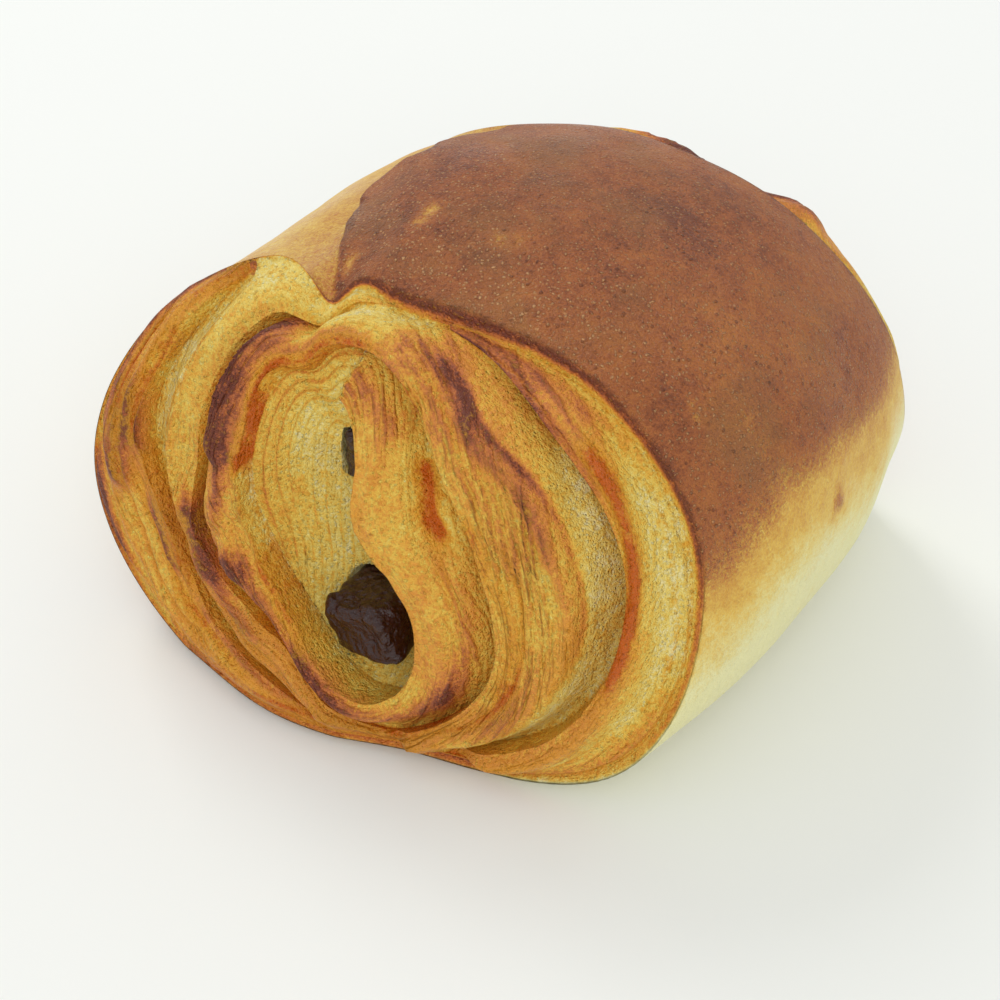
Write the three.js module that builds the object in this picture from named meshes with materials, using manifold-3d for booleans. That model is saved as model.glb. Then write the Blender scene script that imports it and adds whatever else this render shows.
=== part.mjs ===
// Pain au chocolat: a fat roll of laminated dough, baked, with two chocolate batons running through it.
// Units are millimetres. X runs across the roll, Y along its axis with the near end towards -Y, and Z is up.
// The dough is one solid. Both ends show the rolled layers as a spiral of ridges and valleys, which starts
// at the tongue beside the central hole and winds outwards clockwise, seen from the near end.
// Places on an end are given by an hour, as on a clock face: 12 is up, 3 is towards +X. The hour goes on
// counting past 12, so hours 0 to 12 are the first turn of the spiral, 12 to 24 the second, 24 to 36 the third.
import * as THREE from 'three';
import { mergeVertices } from 'three/addons/utils/BufferGeometryUtils.js';
import Module from 'manifold-3d';

const wasm = await Module();
wasm.setup();

// Section of the loaf at its fullest
const HALF_WIDTH = 47;
const CROWN_HEIGHT = 59;
const BROADEST_HEIGHT = 20;
const CROWN_POWER = 2.25;
const BASE_POWER = 3.4;
const SOLE_PRESSED = 0.5;

// Axis of the roll, and how far the middle of each end stands out along Y
const ROLL_X = -6;
const ROLL_Z = 32;
const NEAR_MIDDLE_Y = -39;
const FAR_MIDDLE_Y = 36;
const END_DOME_POWER = 1.7;
const SIDE_SWELL_POWER = 2.2;

// Rim of each end at the hours 12, 1, 2 ... 11: its distance from the roll's axis and its place along Y
const NEAR_RIM = {
  radius: [23.6, 26.8, 36.2, 47.1, 51.8, 34.6, 32.0, 35.8, 41.0, 36.8, 33.0, 27.8],
  y: [-19.6, -17.2, -16.0, -20.0, -33.8, -45.0, -50.0, -48.6, -44.4, -39.8, -28.4, -20.5],
};
const FAR_RIM = {
  radius: [22.6, 26.4, 36.0, 47.0, 51.3, 36.6, 31.8, 36.0, 41.4, 34.6, 28.2, 23.6],
  y: [27.6, 28.4, 29.6, 32.2, 37.2, 40.5, 40, 37.5, 31, 26, 22.5, 24.2],
};
const RIM_CLEARANCE = 1.2;

// The drooping tip of the crust's lip, at the near rim only
const LIP_TIP = { hour: 11.22, hours: 0.26, droop: 4.5, reach: 3 };

// The groove under the rim, at the hours 12, 1, 2 ... 11: how far in it lies and how deep it is
const LIP_INSET = [1.1, 1.3, 1.3, 1.2, 0.9, 0.6, 0.4, 0.3, 0.3, 0.3, 0.2, 0.3];
const LIP_DEPTH = [1.5, 1.8, 1.8, 1.8, 1.6, 1.0, 0.6, 0.5, 0.5, 0.4, 0.2, 0.2];

// The spiral's edge line, the brow of each layer: its distance from the axis at every hour of its turns
const HOURS_A_TURN = 12;
const TURNS = 3;
const EDGE_RADIUS = [
  13.3, 9.4, 6.8, 9.0, 19.2, 26.8, 16.0, 12.4, 11.4, 10.6, 12.2, 16.8,
  17.9, 17.5, 17.9, 22.2, 30.4, 31.3, 21.3, 21.4, 22.2, 17.9, 20.4, 22.5,
  21.7, 23.6, 29.7, 38.6, 41.4, 34.2, 27.9, 27.4, 26.1, 28.2, 28.6, 28.9,
];

// Relief of the layers, at the hours 12, 3, 6 and 9 of each turn in order
const BROW_HEIGHT = [0.6, 3.0, 2.2, 2.0, 2.0, 2.2, 1.4, 1.0, 0.8, 1.8, 1.0, 1.6, 0.6];
const CREST_HEIGHT = [1.0, 3.2, 2.6, 3.2, 2.6, 3.8, 2.6, 1.4, 1.6, 2.6, 1.8, 2.6, 0.8];
const CREST_PLACE = [0.4, 0.3, 0.4, 0.55, 0.5, 0.56, 0.4, 0.5, 0.4, 0.3, 0.5, 0.5, 0.4];
const UNDERCUT = [0.6, 2.0, 0.8, 0.4, 0.6, 1.6, 0.9, 0.5, 0.6, 1.6, 0.8, 0.6, 0.6];
const GROOVE_DEPTH = [0.6, 9.0, 3.0, 1.0, 0.4, 2.6, 1.2, 2.6, 0.6, 3.0, 1.6, 2.0, 0.6];
const BROW_PLACE = 0.08;
const FULL_RELIEF_WIDTH = 4;
const THINNEST_LAYER = 0.4;

// Ridges that run along a layer: their hours, their share of the way across it at either end, half their
// breadth and their height. The far end has two flaps besides, which stand up beyond the crown.
const FOLD_TAPER = 0.4;
const NEAR_FOLDS = [
  { from: 3.2, to: 4.4, share: 0.72, endShare: 0.62, width: 1.3, height: 1.3 },
  { from: 5.4, to: 7.4, share: 0.42, endShare: 0.45, width: 1.5, height: 1.2 },
];
const FAR_FOLDS = [
  ...NEAR_FOLDS,
  { from: 25.2, to: 25.9, share: 0.84, endShare: 0.84, width: 1.5, height: 3.2 },
  { from: 26.0, to: 27.1, share: 0.8, endShare: 0.78, width: 2.2, height: 4.6 },
];

// The bowl of fine layers round the central hole
const BOWL_CURVE = 1.6;

// The dark crust stands a little proud of the pale dough beside it, and a groove parts the left flap from that.
// The crust's left edge is given by its hour at six places, from the near rim to the far one.
const CRUST_LEFT_EDGE = [11.22, 10.82, 10.62, 10.64, 10.74, 10.9];
const CRUST_STEP = { height: 2.1, blend: 0.14, fadeHours: 2.6 };
const FLAP_GROOVE = { depth: 3, hour: 10.6, hours: 0.45, reach: 0.6 };
const FAR_RELIEF = 0.85;

// How finely the solid is faceted
const COLUMNS_A_TURN = 60;
const NEAR_LAYER_STEPS = [0, 0.04, BROW_PLACE, 0.18, 0.3, 0.42, 0.55, 0.68, 0.84];
const FAR_LAYER_STEPS = [0, BROW_PLACE, 0.25, 0.5, 0.8];
const SIDE_STEPS = 18;
const SEARCH_STEPS = 40;
const MERGE_DISTANCE = 1e-3;

// The chocolate batons
const BATON_GAP = 0.35;
const BATONS = [
  { name: 'baton_upper', x: -1.8, z: 36.8, width: 9.4, height: 9.6, lean: 8, near: -32.6, far: 27 },
  { name: 'baton_lower', x: 3.0, z: 16.6, width: 11.6, height: 9.0, lean: -14, near: -42.6, far: 36.2 },
];
const BATON_CORNER = 1.8;
const BATON_END_ROUNDING = 0.9;

const DOUGH_LOOK = { color: 0xb8803c, roughness: 0.5 };
const CHOCOLATE_LOOK = { color: 0x391e15, roughness: 0.3 };

const clamp = (value, low, high) => Math.min(Math.max(value, low), high);
const lerp = (from, to, share) => from + (to - from) * share;
const ease = (share) => {
  const s = clamp(share, 0, 1);
  return s * s * (3 - 2 * s);
};
const bump = (distance, spread) => Math.exp(-((distance / spread) ** 2));

// The angle of an hour in the XZ plane, anticlockwise from +X
const hourAngle = (hour) => THREE.MathUtils.degToRad(90 - 30 * hour);

// A smooth line through values that are a given number of hours apart, in a circle or from end to end
function smoothLine(values, hour, spacing, circular) {
  const place = hour / spacing;
  const start = Math.floor(place);
  const share = place - start;
  const last = values.length - 1;
  const count = values.length;
  const at = (index) => values[circular ? ((index % count) + count) % count : clamp(index, 0, last)];
  const [before, from, to, after] = [at(start - 1), at(start), at(start + 1), at(start + 2)];
  const slopeFrom = (to - before) / 2;
  const slopeTo = (after - from) / 2;
  const [s2, s3] = [share ** 2, share ** 3];
  return (
    (2 * s3 - 3 * s2 + 1) * from + (s3 - 2 * s2 + share) * slopeFrom +
    (3 * s2 - 2 * s3) * to + (s3 - s2) * slopeTo
  );
}

const hourly = (values, hour) => smoothLine(values, hour, 1, true);
const byQuarter = (values, hour) => smoothLine(values, hour, 3, false);

// Distance from the roll's axis to the outside of the fullest section, in the direction of an hour
function sectionRadius(hour) {
  const angle = hourAngle(hour);
  const outside = (radius) => {
    const x = ROLL_X + radius * Math.cos(angle);
    const z = ROLL_Z + radius * Math.sin(angle) - BROADEST_HEIGHT;
    const [reach, power] = z >= 0
      ? [CROWN_HEIGHT - BROADEST_HEIGHT, CROWN_POWER]
      : [BROADEST_HEIGHT + SOLE_PRESSED, BASE_POWER];
    return Math.abs(x / HALF_WIDTH) ** power + Math.abs(z / reach) ** power > 1;
  };
  let [inner, outer] = [0, 2 * HALF_WIDTH];
  for (let step = 0; step < SEARCH_STEPS; step++) {
    const middle = (inner + outer) / 2;
    if (outside(middle)) outer = middle;
    else inner = middle;
  }
  return inner;
}

// A point at an hour, a distance from the axis and a place along Y, never below the ground
function pointAt(hour, radius, y) {
  const angle = hourAngle(hour);
  const z = ROLL_Z + radius * Math.sin(angle);
  return new THREE.Vector3(ROLL_X + radius * Math.cos(angle), y, Math.max(z, 0));
}

// One end of the roll: its rim, the way it faces along Y, the strength of its relief and its folds
class RollEnd {
  constructor({ rim, middleY, facing, relief, steps, folds }) {
    Object.assign(this, { rim, middleY, facing, relief, steps, folds });
  }

  // 1 at the drooping tip of the crust's lip, which only the near end has, falling to 0 beside it
  lipTip(hour) {
    return this.facing > 0 ? 0 : bump((hour % HOURS_A_TURN) - LIP_TIP.hour, LIP_TIP.hours);
  }

  // Distance from the axis to the rim, which stays a little off the ground
  rimRadius(hour) {
    const plain = hourly(this.rim.radius, hour) - LIP_TIP.droop * this.lipTip(hour);
    const down = -Math.sin(hourAngle(hour));
    return down > 0 ? Math.min(plain, (ROLL_Z - RIM_CLEARANCE) / down) : plain;
  }

  rimY(hour) {
    return hourly(this.rim.y, hour) - LIP_TIP.reach * this.lipTip(hour);
  }

  // The brow line of the layer at an hour, drawn in with the rim where the two ends differ
  edgeRadius(hour) {
    const reach = this.rimRadius(hour);
    const radius = smoothLine([...EDGE_RADIUS, ...NEAR_RIM.radius], hour, 1, false);
    const nearReach = hourly(NEAR_RIM.radius, hour);
    const share = clamp(radius / nearReach, 0, 1);
    return Math.min(radius * lerp(1, reach / nearReach, share), reach);
  }

  // The bottom of the groove at an hour: it is tucked outwards, under the brow of the layer outside it.
  // Where the last layer has thinned to nothing, it is the groove under the rim.
  groove(hour) {
    const own = {
      radius: this.edgeRadius(hour) + byQuarter(UNDERCUT, hour),
      depth: byQuarter(GROOVE_DEPTH, hour) * this.relief,
    };
    const underRim = {
      radius: this.rimRadius(hour) - hourly(LIP_INSET, hour),
      depth: hourly(LIP_DEPTH, hour),
    };
    const onLastTurn = hour > HOURS_A_TURN * (TURNS - 1);
    const thinned = onLastTurn && underRim.radius - own.radius < THINNEST_LAYER;
    return thinned || hour >= HOURS_A_TURN * TURNS ? underRim : own;
  }

  // A point on the end, a height above its domed base, measured square to that base
  surfacePoint(hour, radius, height) {
    const reach = this.rimRadius(hour);
    const drop = this.rimY(hour) - this.middleY;
    const share = radius / reach;
    const y = this.middleY + drop * share ** END_DOME_POWER;
    const slope = (-this.facing * drop * END_DOME_POWER * share ** (END_DOME_POWER - 1)) / reach;
    const length = Math.hypot(1, slope);
    return pointAt(hour, radius + (height * slope) / length, y + (this.facing * height) / length);
  }

  // How high the folds stand at an hour and a share of the way across a layer of some breadth
  foldHeight(hour, share, breadth) {
    let height = 0;
    for (const fold of this.folds) {
      const middle = lerp(fold.share, fold.endShare, ease((hour - fold.from) / (fold.to - fold.from)));
      const ends = ease((hour - fold.from) / FOLD_TAPER + 1) * ease((fold.to - hour) / FOLD_TAPER + 1);
      height += fold.height * ends * bump((share - middle) * breadth, fold.width);
    }
    return height * this.relief;
  }

  // A point of the layer at an hour, from its inner groove, share 0, to the groove outside it, share 1
  layerPoint(hour, share) {
    const inner = this.groove(hour);
    const outer = this.groove(hour + HOURS_A_TURN);
    const width = outer.radius - inner.radius;
    const fullness = ease(width / FULL_RELIEF_WIDTH);
    const brow = byQuarter(BROW_HEIGHT, hour) * this.relief;
    const crest = byQuarter(CREST_HEIGHT, hour) * this.relief;
    const place = byQuarter(CREST_PLACE, hour);
    const undercut = Math.max(byQuarter(UNDERCUT, hour), 0);
    const floor = lerp(-inner.depth, -outer.depth, share);
    let height;
    if (share < BROW_PLACE) height = lerp(-inner.depth, brow, ease(share / BROW_PLACE));
    else if (share < place) height = lerp(brow, crest, ease((share - BROW_PLACE) / (place - BROW_PLACE)));
    else height = lerp(crest, -outer.depth, ease((share - place) / (1 - place)));
    const onTop = ease(share / BROW_PLACE) * ease((1 - share) / BROW_PLACE);
    height += this.foldHeight(hour, share, width) * onTop;
    height = lerp(floor, height, fullness);
    const tuck = share < BROW_PLACE ? share / BROW_PLACE : (1 - share) / (1 - BROW_PLACE);
    return this.surfacePoint(hour, inner.radius + width * share - fullness * undercut * tuck, height);
  }

  // The layers as columns of points: column by column round the spiral, each from its groove outwards
  layers() {
    const columns = [];
    for (let column = 0; column <= COLUMNS_A_TURN * TURNS; column++) {
      const hour = (HOURS_A_TURN * column) / COLUMNS_A_TURN;
      columns.push([...this.steps, 1].map((share) => this.layerPoint(hour, share)));
    }
    for (let column = COLUMNS_A_TURN; column < columns.length; column++) {
      columns[column - COLUMNS_A_TURN][this.steps.length] = columns[column][0];
    }
    return columns;
  }

  // The bowl inside the first turn: chords from the tongue's groove across to the far side of the turn
  bowl(columns) {
    const half = COLUMNS_A_TURN / 2;
    const across = this.steps.length;
    const rows = [columns[0]];
    for (let row = 1; row <= half; row++) {
      const [from, to] = [columns[row][0], columns[COLUMNS_A_TURN - row][0]];
      const chord = [from];
      for (let step = 1; step < across; step++) {
        const share = step / across;
        const point = from.clone().lerp(to, share);
        point.y = lerp(to.y, from.y, 1 - share ** BOWL_CURVE);
        chord.push(point);
      }
      rows.push([...chord, to]);
    }
    return rows;
  }
}

const nearEnd = new RollEnd({
  rim: NEAR_RIM, middleY: NEAR_MIDDLE_Y, facing: -1, relief: 1, steps: NEAR_LAYER_STEPS, folds: NEAR_FOLDS,
});
const farEnd = new RollEnd({
  rim: FAR_RIM, middleY: FAR_MIDDLE_Y, facing: 1, relief: FAR_RELIEF, steps: FAR_LAYER_STEPS, folds: FAR_FOLDS,
});

// How far the side stands in or out of the plain loaf, at an hour and a share of the way to the far end
function sideRelief(hour, along) {
  const pastEdge = smoothLine(CRUST_LEFT_EDGE, along, 1 / (CRUST_LEFT_EDGE.length - 1), false) - hour;
  const fade = 1 - ease((pastEdge - CRUST_STEP.blend) / CRUST_STEP.fadeHours);
  const drop = hour > 6 ? CRUST_STEP.height * ease(pastEdge / CRUST_STEP.blend + 0.5) * fade : 0;
  const groove = FLAP_GROOVE.depth * bump(hour - FLAP_GROOVE.hour, FLAP_GROOVE.hours);
  const awayFromRims = Math.sqrt(Math.max(Math.sin(Math.PI * along), 0));
  return -drop * awayFromRims - groove * (1 - ease(along / FLAP_GROOVE.reach));
}

// The outside of the loaf between the two rims, from the near rim to the far one
function sideColumn(hour) {
  const points = [];
  for (let step = 0; step <= SIDE_STEPS; step++) {
    const along = step / SIDE_STEPS;
    const endShare = Math.abs(2 * along - 1) ** SIDE_SWELL_POWER;
    const end = along < 0.5 ? nearEnd : farEnd;
    const radius = lerp(sectionRadius(hour), end.rimRadius(hour), endShare) + sideRelief(hour, along);
    points.push(pointAt(hour, radius, lerp(nearEnd.rimY(hour), farEnd.rimY(hour), along)));
  }
  return points;
}

// A mesh under construction: strips of points joined by triangles, with points in one place merged
class Skin {
  constructor() {
    this.corners = [];
  }

  triangle(a, b, c) {
    this.corners.push(a, b, c);
  }

  // Joins a grid of points, row by row; the faces point to the left of the rows unless it is flipped
  grid(rows, flipped) {
    for (let row = 0; row + 1 < rows.length; row++) {
      for (let step = 0; step + 1 < rows[row].length; step++) {
        const [a, b] = [rows[row][step], rows[row + 1][step]];
        const [c, d] = [rows[row + 1][step + 1], rows[row][step + 1]];
        if (flipped) {
          this.triangle(a, c, b);
          this.triangle(a, d, c);
        } else {
          this.triangle(a, b, c);
          this.triangle(a, c, d);
        }
      }
    }
  }

  geometry() {
    const loose = new THREE.BufferGeometry().setFromPoints(this.corners);
    const merged = mergeVertices(loose, MERGE_DISTANCE);
    const kept = [];
    for (let corner = 0; corner < merged.index.count; corner += 3) {
      const [a, b, c] = [0, 1, 2].map((offset) => merged.index.getX(corner + offset));
      if (a !== b && b !== c && c !== a) kept.push(a, b, c);
    }
    merged.setIndex(kept);
    return merged;
  }
}

// Puts the layers, the bowl and the turned-in lip of one end on the skin
function addEnd(skin, end, rimPoints, flipped) {
  const columns = end.layers();
  const last = COLUMNS_A_TURN * (TURNS - 1);
  const outermost = columns.slice(last).map((column) => column[column.length - 1]);
  skin.grid(columns, flipped);
  skin.grid(end.bowl(columns), !flipped);
  skin.grid(outermost.map((point, index) => [point, rimPoints[index]]), flipped);
}

function doughGeometry() {
  const skin = new Skin();
  const sides = [];
  for (let column = 0; column <= COLUMNS_A_TURN; column++) {
    sides.push(sideColumn((HOURS_A_TURN * (column % COLUMNS_A_TURN)) / COLUMNS_A_TURN));
  }
  skin.grid(sides, false);
  addEnd(skin, nearEnd, sides.map((side) => side[0]), false);
  addEnd(skin, farEnd, sides.map((side) => side[SIDE_STEPS]), true);
  return skin.geometry();
}

// A baton, or with some clearance the channel that it lies in: a rounded bar along Y
function batonGeometry(baton, clearance) {
  const halfWidth = baton.width / 2 + clearance;
  const halfHeight = baton.height / 2 + clearance;
  const corner = BATON_CORNER + clearance;
  const section = new THREE.Shape();
  section.moveTo(halfWidth, halfHeight - corner);
  section.absarc(halfWidth - corner, halfHeight - corner, corner, 0, Math.PI / 2);
  section.absarc(corner - halfWidth, halfHeight - corner, corner, Math.PI / 2, Math.PI);
  section.absarc(corner - halfWidth, corner - halfHeight, corner, Math.PI, 1.5 * Math.PI);
  section.absarc(halfWidth - corner, corner - halfHeight, corner, 1.5 * Math.PI, 2 * Math.PI);
  const length = baton.far - baton.near + 2 * clearance;
  const bar = new THREE.ExtrudeGeometry(section, {
    depth: length - 2 * BATON_END_ROUNDING,
    bevelThickness: BATON_END_ROUNDING,
    bevelSize: BATON_END_ROUNDING,
    bevelOffset: -BATON_END_ROUNDING,
    bevelSegments: 2,
    curveSegments: 3,
    steps: 1,
  });
  bar.translate(0, 0, BATON_END_ROUNDING - length / 2);
  bar.rotateX(Math.PI / 2);
  bar.rotateY(THREE.MathUtils.degToRad(baton.lean));
  bar.translate(baton.x, (baton.near + baton.far) / 2, baton.z);
  return bar;
}

// A closed geometry as a solid that can be cut
function solidOf(geometry) {
  const bare = geometry.clone();
  bare.deleteAttribute('normal');
  bare.deleteAttribute('uv');
  const welded = mergeVertices(bare, MERGE_DISTANCE / 10);
  const vertProperties = new Float32Array(welded.attributes.position.array);
  const triVerts = new Uint32Array(welded.index.array);
  return new wasm.Manifold(new wasm.Mesh({ numProp: 3, vertProperties, triVerts }));
}

function geometryOf(solid) {
  const mesh = solid.getMesh();
  const geometry = new THREE.BufferGeometry();
  geometry.setAttribute('position', new THREE.BufferAttribute(mesh.vertProperties, 3));
  geometry.setIndex(new THREE.BufferAttribute(mesh.triVerts, 1));
  geometry.computeVertexNormals();
  return geometry;
}

function namedMesh(name, geometry, look) {
  const mesh = new THREE.Mesh(geometry, new THREE.MeshStandardMaterial(look));
  mesh.name = name;
  return mesh;
}

const painAuChocolat = new THREE.Group();
let dough = solidOf(doughGeometry());
for (const baton of BATONS) {
  dough = dough.subtract(solidOf(batonGeometry(baton, BATON_GAP)));
  painAuChocolat.add(namedMesh(baton.name, batonGeometry(baton, 0), CHOCOLATE_LOOK));
}
painAuChocolat.add(namedMesh('dough', geometryOf(dough), DOUGH_LOOK));

// The origin is under the middle of the whole piece
const middle = new THREE.Box3().setFromObject(painAuChocolat).getCenter(new THREE.Vector3());
painAuChocolat.position.set(-middle.x, -middle.y, 0);

export default painAuChocolat;
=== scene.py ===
"""Pain au chocolat: a baked roll of laminated dough with two chocolate batons, on a pale floor.

Sizes and places are in millimetres. X runs across the roll, Y along its axis with the near end towards -Y,
and Z is up. A place on an end of the roll is given by an hour, as on a clock face: 12 is up and 3 is towards
+X. The hour goes on counting past 12, so hours 0 to 12 are the spiral's first turn, 12 to 24 its second and
24 to 36 its third. A share says how far a point is from a layer's inner groove, 0, to its outer groove, 1.
"""
import logging
import math
from dataclasses import dataclass, field
from enum import Enum

import bpy
import numpy as np
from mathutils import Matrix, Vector


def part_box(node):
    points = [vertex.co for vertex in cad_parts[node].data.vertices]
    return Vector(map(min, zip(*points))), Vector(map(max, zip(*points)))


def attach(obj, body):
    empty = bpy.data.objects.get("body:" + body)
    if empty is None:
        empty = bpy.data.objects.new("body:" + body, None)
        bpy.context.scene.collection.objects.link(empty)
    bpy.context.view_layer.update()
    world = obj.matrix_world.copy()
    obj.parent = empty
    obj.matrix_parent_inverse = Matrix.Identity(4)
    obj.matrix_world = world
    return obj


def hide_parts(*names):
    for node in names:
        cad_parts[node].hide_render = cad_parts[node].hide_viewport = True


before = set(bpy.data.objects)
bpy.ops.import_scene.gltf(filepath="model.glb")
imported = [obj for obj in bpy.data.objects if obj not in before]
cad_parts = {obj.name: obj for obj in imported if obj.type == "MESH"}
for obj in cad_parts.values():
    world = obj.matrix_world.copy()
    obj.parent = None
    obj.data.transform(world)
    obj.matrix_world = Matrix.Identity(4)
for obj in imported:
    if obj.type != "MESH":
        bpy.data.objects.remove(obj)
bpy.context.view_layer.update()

MM = 0.001
PER_METRE = 1000.0
HOURS_A_TURN = 12
TURNS = 3
LOG = logging.getLogger("pain_au_chocolat")

# How many halvings find a place on the loaf's section
SEARCH_STEPS = 40

# About how many millimetres an hour spans on the layers and on the outside, where patterns are laid out, and
# the length of the outside from rim to rim
LAYER_HOUR_SPAN = 7.0
OUTSIDE_HOUR_SPAN = 22.0
OUTSIDE_LENGTH = 62.0

# The same two for the rubbed spots, on the crown alone
CROWN_HOUR_SPAN = 15.0
CROWN_LENGTH = 60.0

# Where the finish's pattern starts on the bowl, the lip and the outside, so that none repeats its neighbour
BOWL_LAYOUT_START = -60.0
LIP_LAYOUT_START = -80.0
OUTSIDE_LAYOUT_START = 200.0

# Settings of the shader nodes that many patterns share
TIMES_PLUS = {"operation": "MULTIPLY_ADD"}
SOFT_STEP = {"interpolation_type": "SMOOTHSTEP"}
COLOURS = {"data_type": "RGBA"}
NUMBERS = {"data_type": "FLOAT"}

Tree = bpy.types.NodeTree
Socket = bpy.types.NodeSocket
Amount = float | np.ndarray


class Facing(Enum):
    """The way that an end of the roll faces along Y."""

    NEAR = -1
    FAR = 1


class Slot(Enum):
    """The record's material slots."""

    PASTRY = "pastry"
    CHOCOLATE = "chocolate"


def ease(share: np.ndarray) -> np.ndarray:
    """Return a share from 0 to 1 with a soft start and a soft end."""
    s = np.clip(share, 0.0, 1.0)
    return s * s * (3.0 - 2.0 * s)


def bump(distance: np.ndarray, spread: float) -> np.ndarray:
    """Return a soft hill that is 1 at distance 0 and falls off over the spread."""
    return np.exp(-((distance / spread) ** 2))


def lerp(start: Amount, end: Amount, share: Amount) -> Amount:
    """Return the value that lies a share of the way from start to end."""
    return start + (end - start) * share


def smooth_line(values: tuple, hour: np.ndarray, spacing: float, circular: bool) -> np.ndarray:
    """Read a smooth line through values that lie a number of hours apart.

    Args:
        values: the values in order.
        hour: the hours at which the line is read.
        spacing: how many hours lie between two values.
        circular: True if the first value follows the last one.

    Returns:
        The line's value at each hour.
    """
    table = np.asarray(values, float)
    place = np.asarray(hour, float) / spacing
    start = np.floor(place).astype(int)
    share = place - start
    count = len(table)

    def at(index: np.ndarray) -> np.ndarray:
        """Return the table's values at the given places, past its ends too."""
        return table[index % count] if circular else table[np.clip(index, 0, count - 1)]

    before, first, second, after = at(start - 1), at(start), at(start + 1), at(start + 2)
    slope_first = (second - before) / 2
    slope_second = (after - first) / 2
    s2, s3 = share**2, share**3
    return (
        (2 * s3 - 3 * s2 + 1) * first + (s3 - 2 * s2 + share) * slope_first
        + (3 * s2 - 2 * s3) * second + (s3 - s2) * slope_second
    )


def by_quarter(values: tuple, hour: np.ndarray) -> np.ndarray:
    """Read a line whose values are given at the hours 12, 3, 6 and 9 of each turn."""
    return smooth_line(values, hour, 3.0, False)


def random_field(points: np.ndarray, size: tuple, seed: int) -> np.ndarray:
    """Return smooth random values from -1 to 1.

    Args:
        points: the places, with three numbers each in the last axis.
        size: the width of the field's blobs along each of the three numbers.
        seed: a whole number that picks the field.

    Returns:
        One value for each place.
    """
    scaled = points / np.asarray(size, float)
    corner = np.floor(scaled).astype(np.int64)
    share = ease(scaled - corner)
    total = np.zeros(points.shape[:-1])
    for step in np.ndindex(2, 2, 2):
        cell = corner + np.asarray(step)
        mixed = cell[..., 0] * 374761393 + cell[..., 1] * 668265263 + cell[..., 2] * 974634777 + seed * 374761
        mixed = ((mixed ^ (mixed >> 13)) * 1274126177) & 0x7FFFFFFF
        value = ((mixed ^ (mixed >> 15)) & 0xFFFF) / 32767.5 - 1.0
        weight = np.ones(total.shape)
        for axis, side in enumerate(step):
            weight = weight * (share[..., axis] if side else 1.0 - share[..., axis])
        total += weight * value
    return total


@dataclass(frozen=True)
class Waver:
    """A smooth random unevenness.

    Attributes:
        size: the width of its blobs along each of the three numbers of a place.
        strength: how much it adds or takes away at most.
        seed: a whole number that picks it.
    """

    size: tuple
    strength: float = 1.0
    seed: int = 0

    def at(self, points: np.ndarray, seed: int = 0) -> np.ndarray:
        """Return its value at each place, with another seed added to its own."""
        return random_field(points, self.size, self.seed + seed) * self.strength


def hour_angle(hour: np.ndarray) -> np.ndarray:
    """Return the angle of an hour in the XZ plane, in radians anticlockwise from +X."""
    return np.radians(90.0 - 30.0 * hour)


def linear_colour(code: str) -> tuple[float, float, float, float]:
    """Turn an sRGB colour such as #c8a050 into the linear RGBA that shaders take.

    Args:
        code: the sRGB colour.

    Returns:
        The linear red, green, blue and alpha, from 0 to 1.
    """
    parts = [int(code[i:i + 2], 16) / 255 for i in (1, 3, 5)]
    line = [p / 12.92 if p <= 0.04045 else ((p + 0.055) / 1.055) ** 2.4 for p in parts]
    return (line[0], line[1], line[2], 1.0)


@dataclass(frozen=True)
class Rim:
    """The rim of one end: distances from the roll's axis and places along Y at the hours 12, 1, 2 ... 11."""

    radius: tuple
    y: tuple


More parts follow.
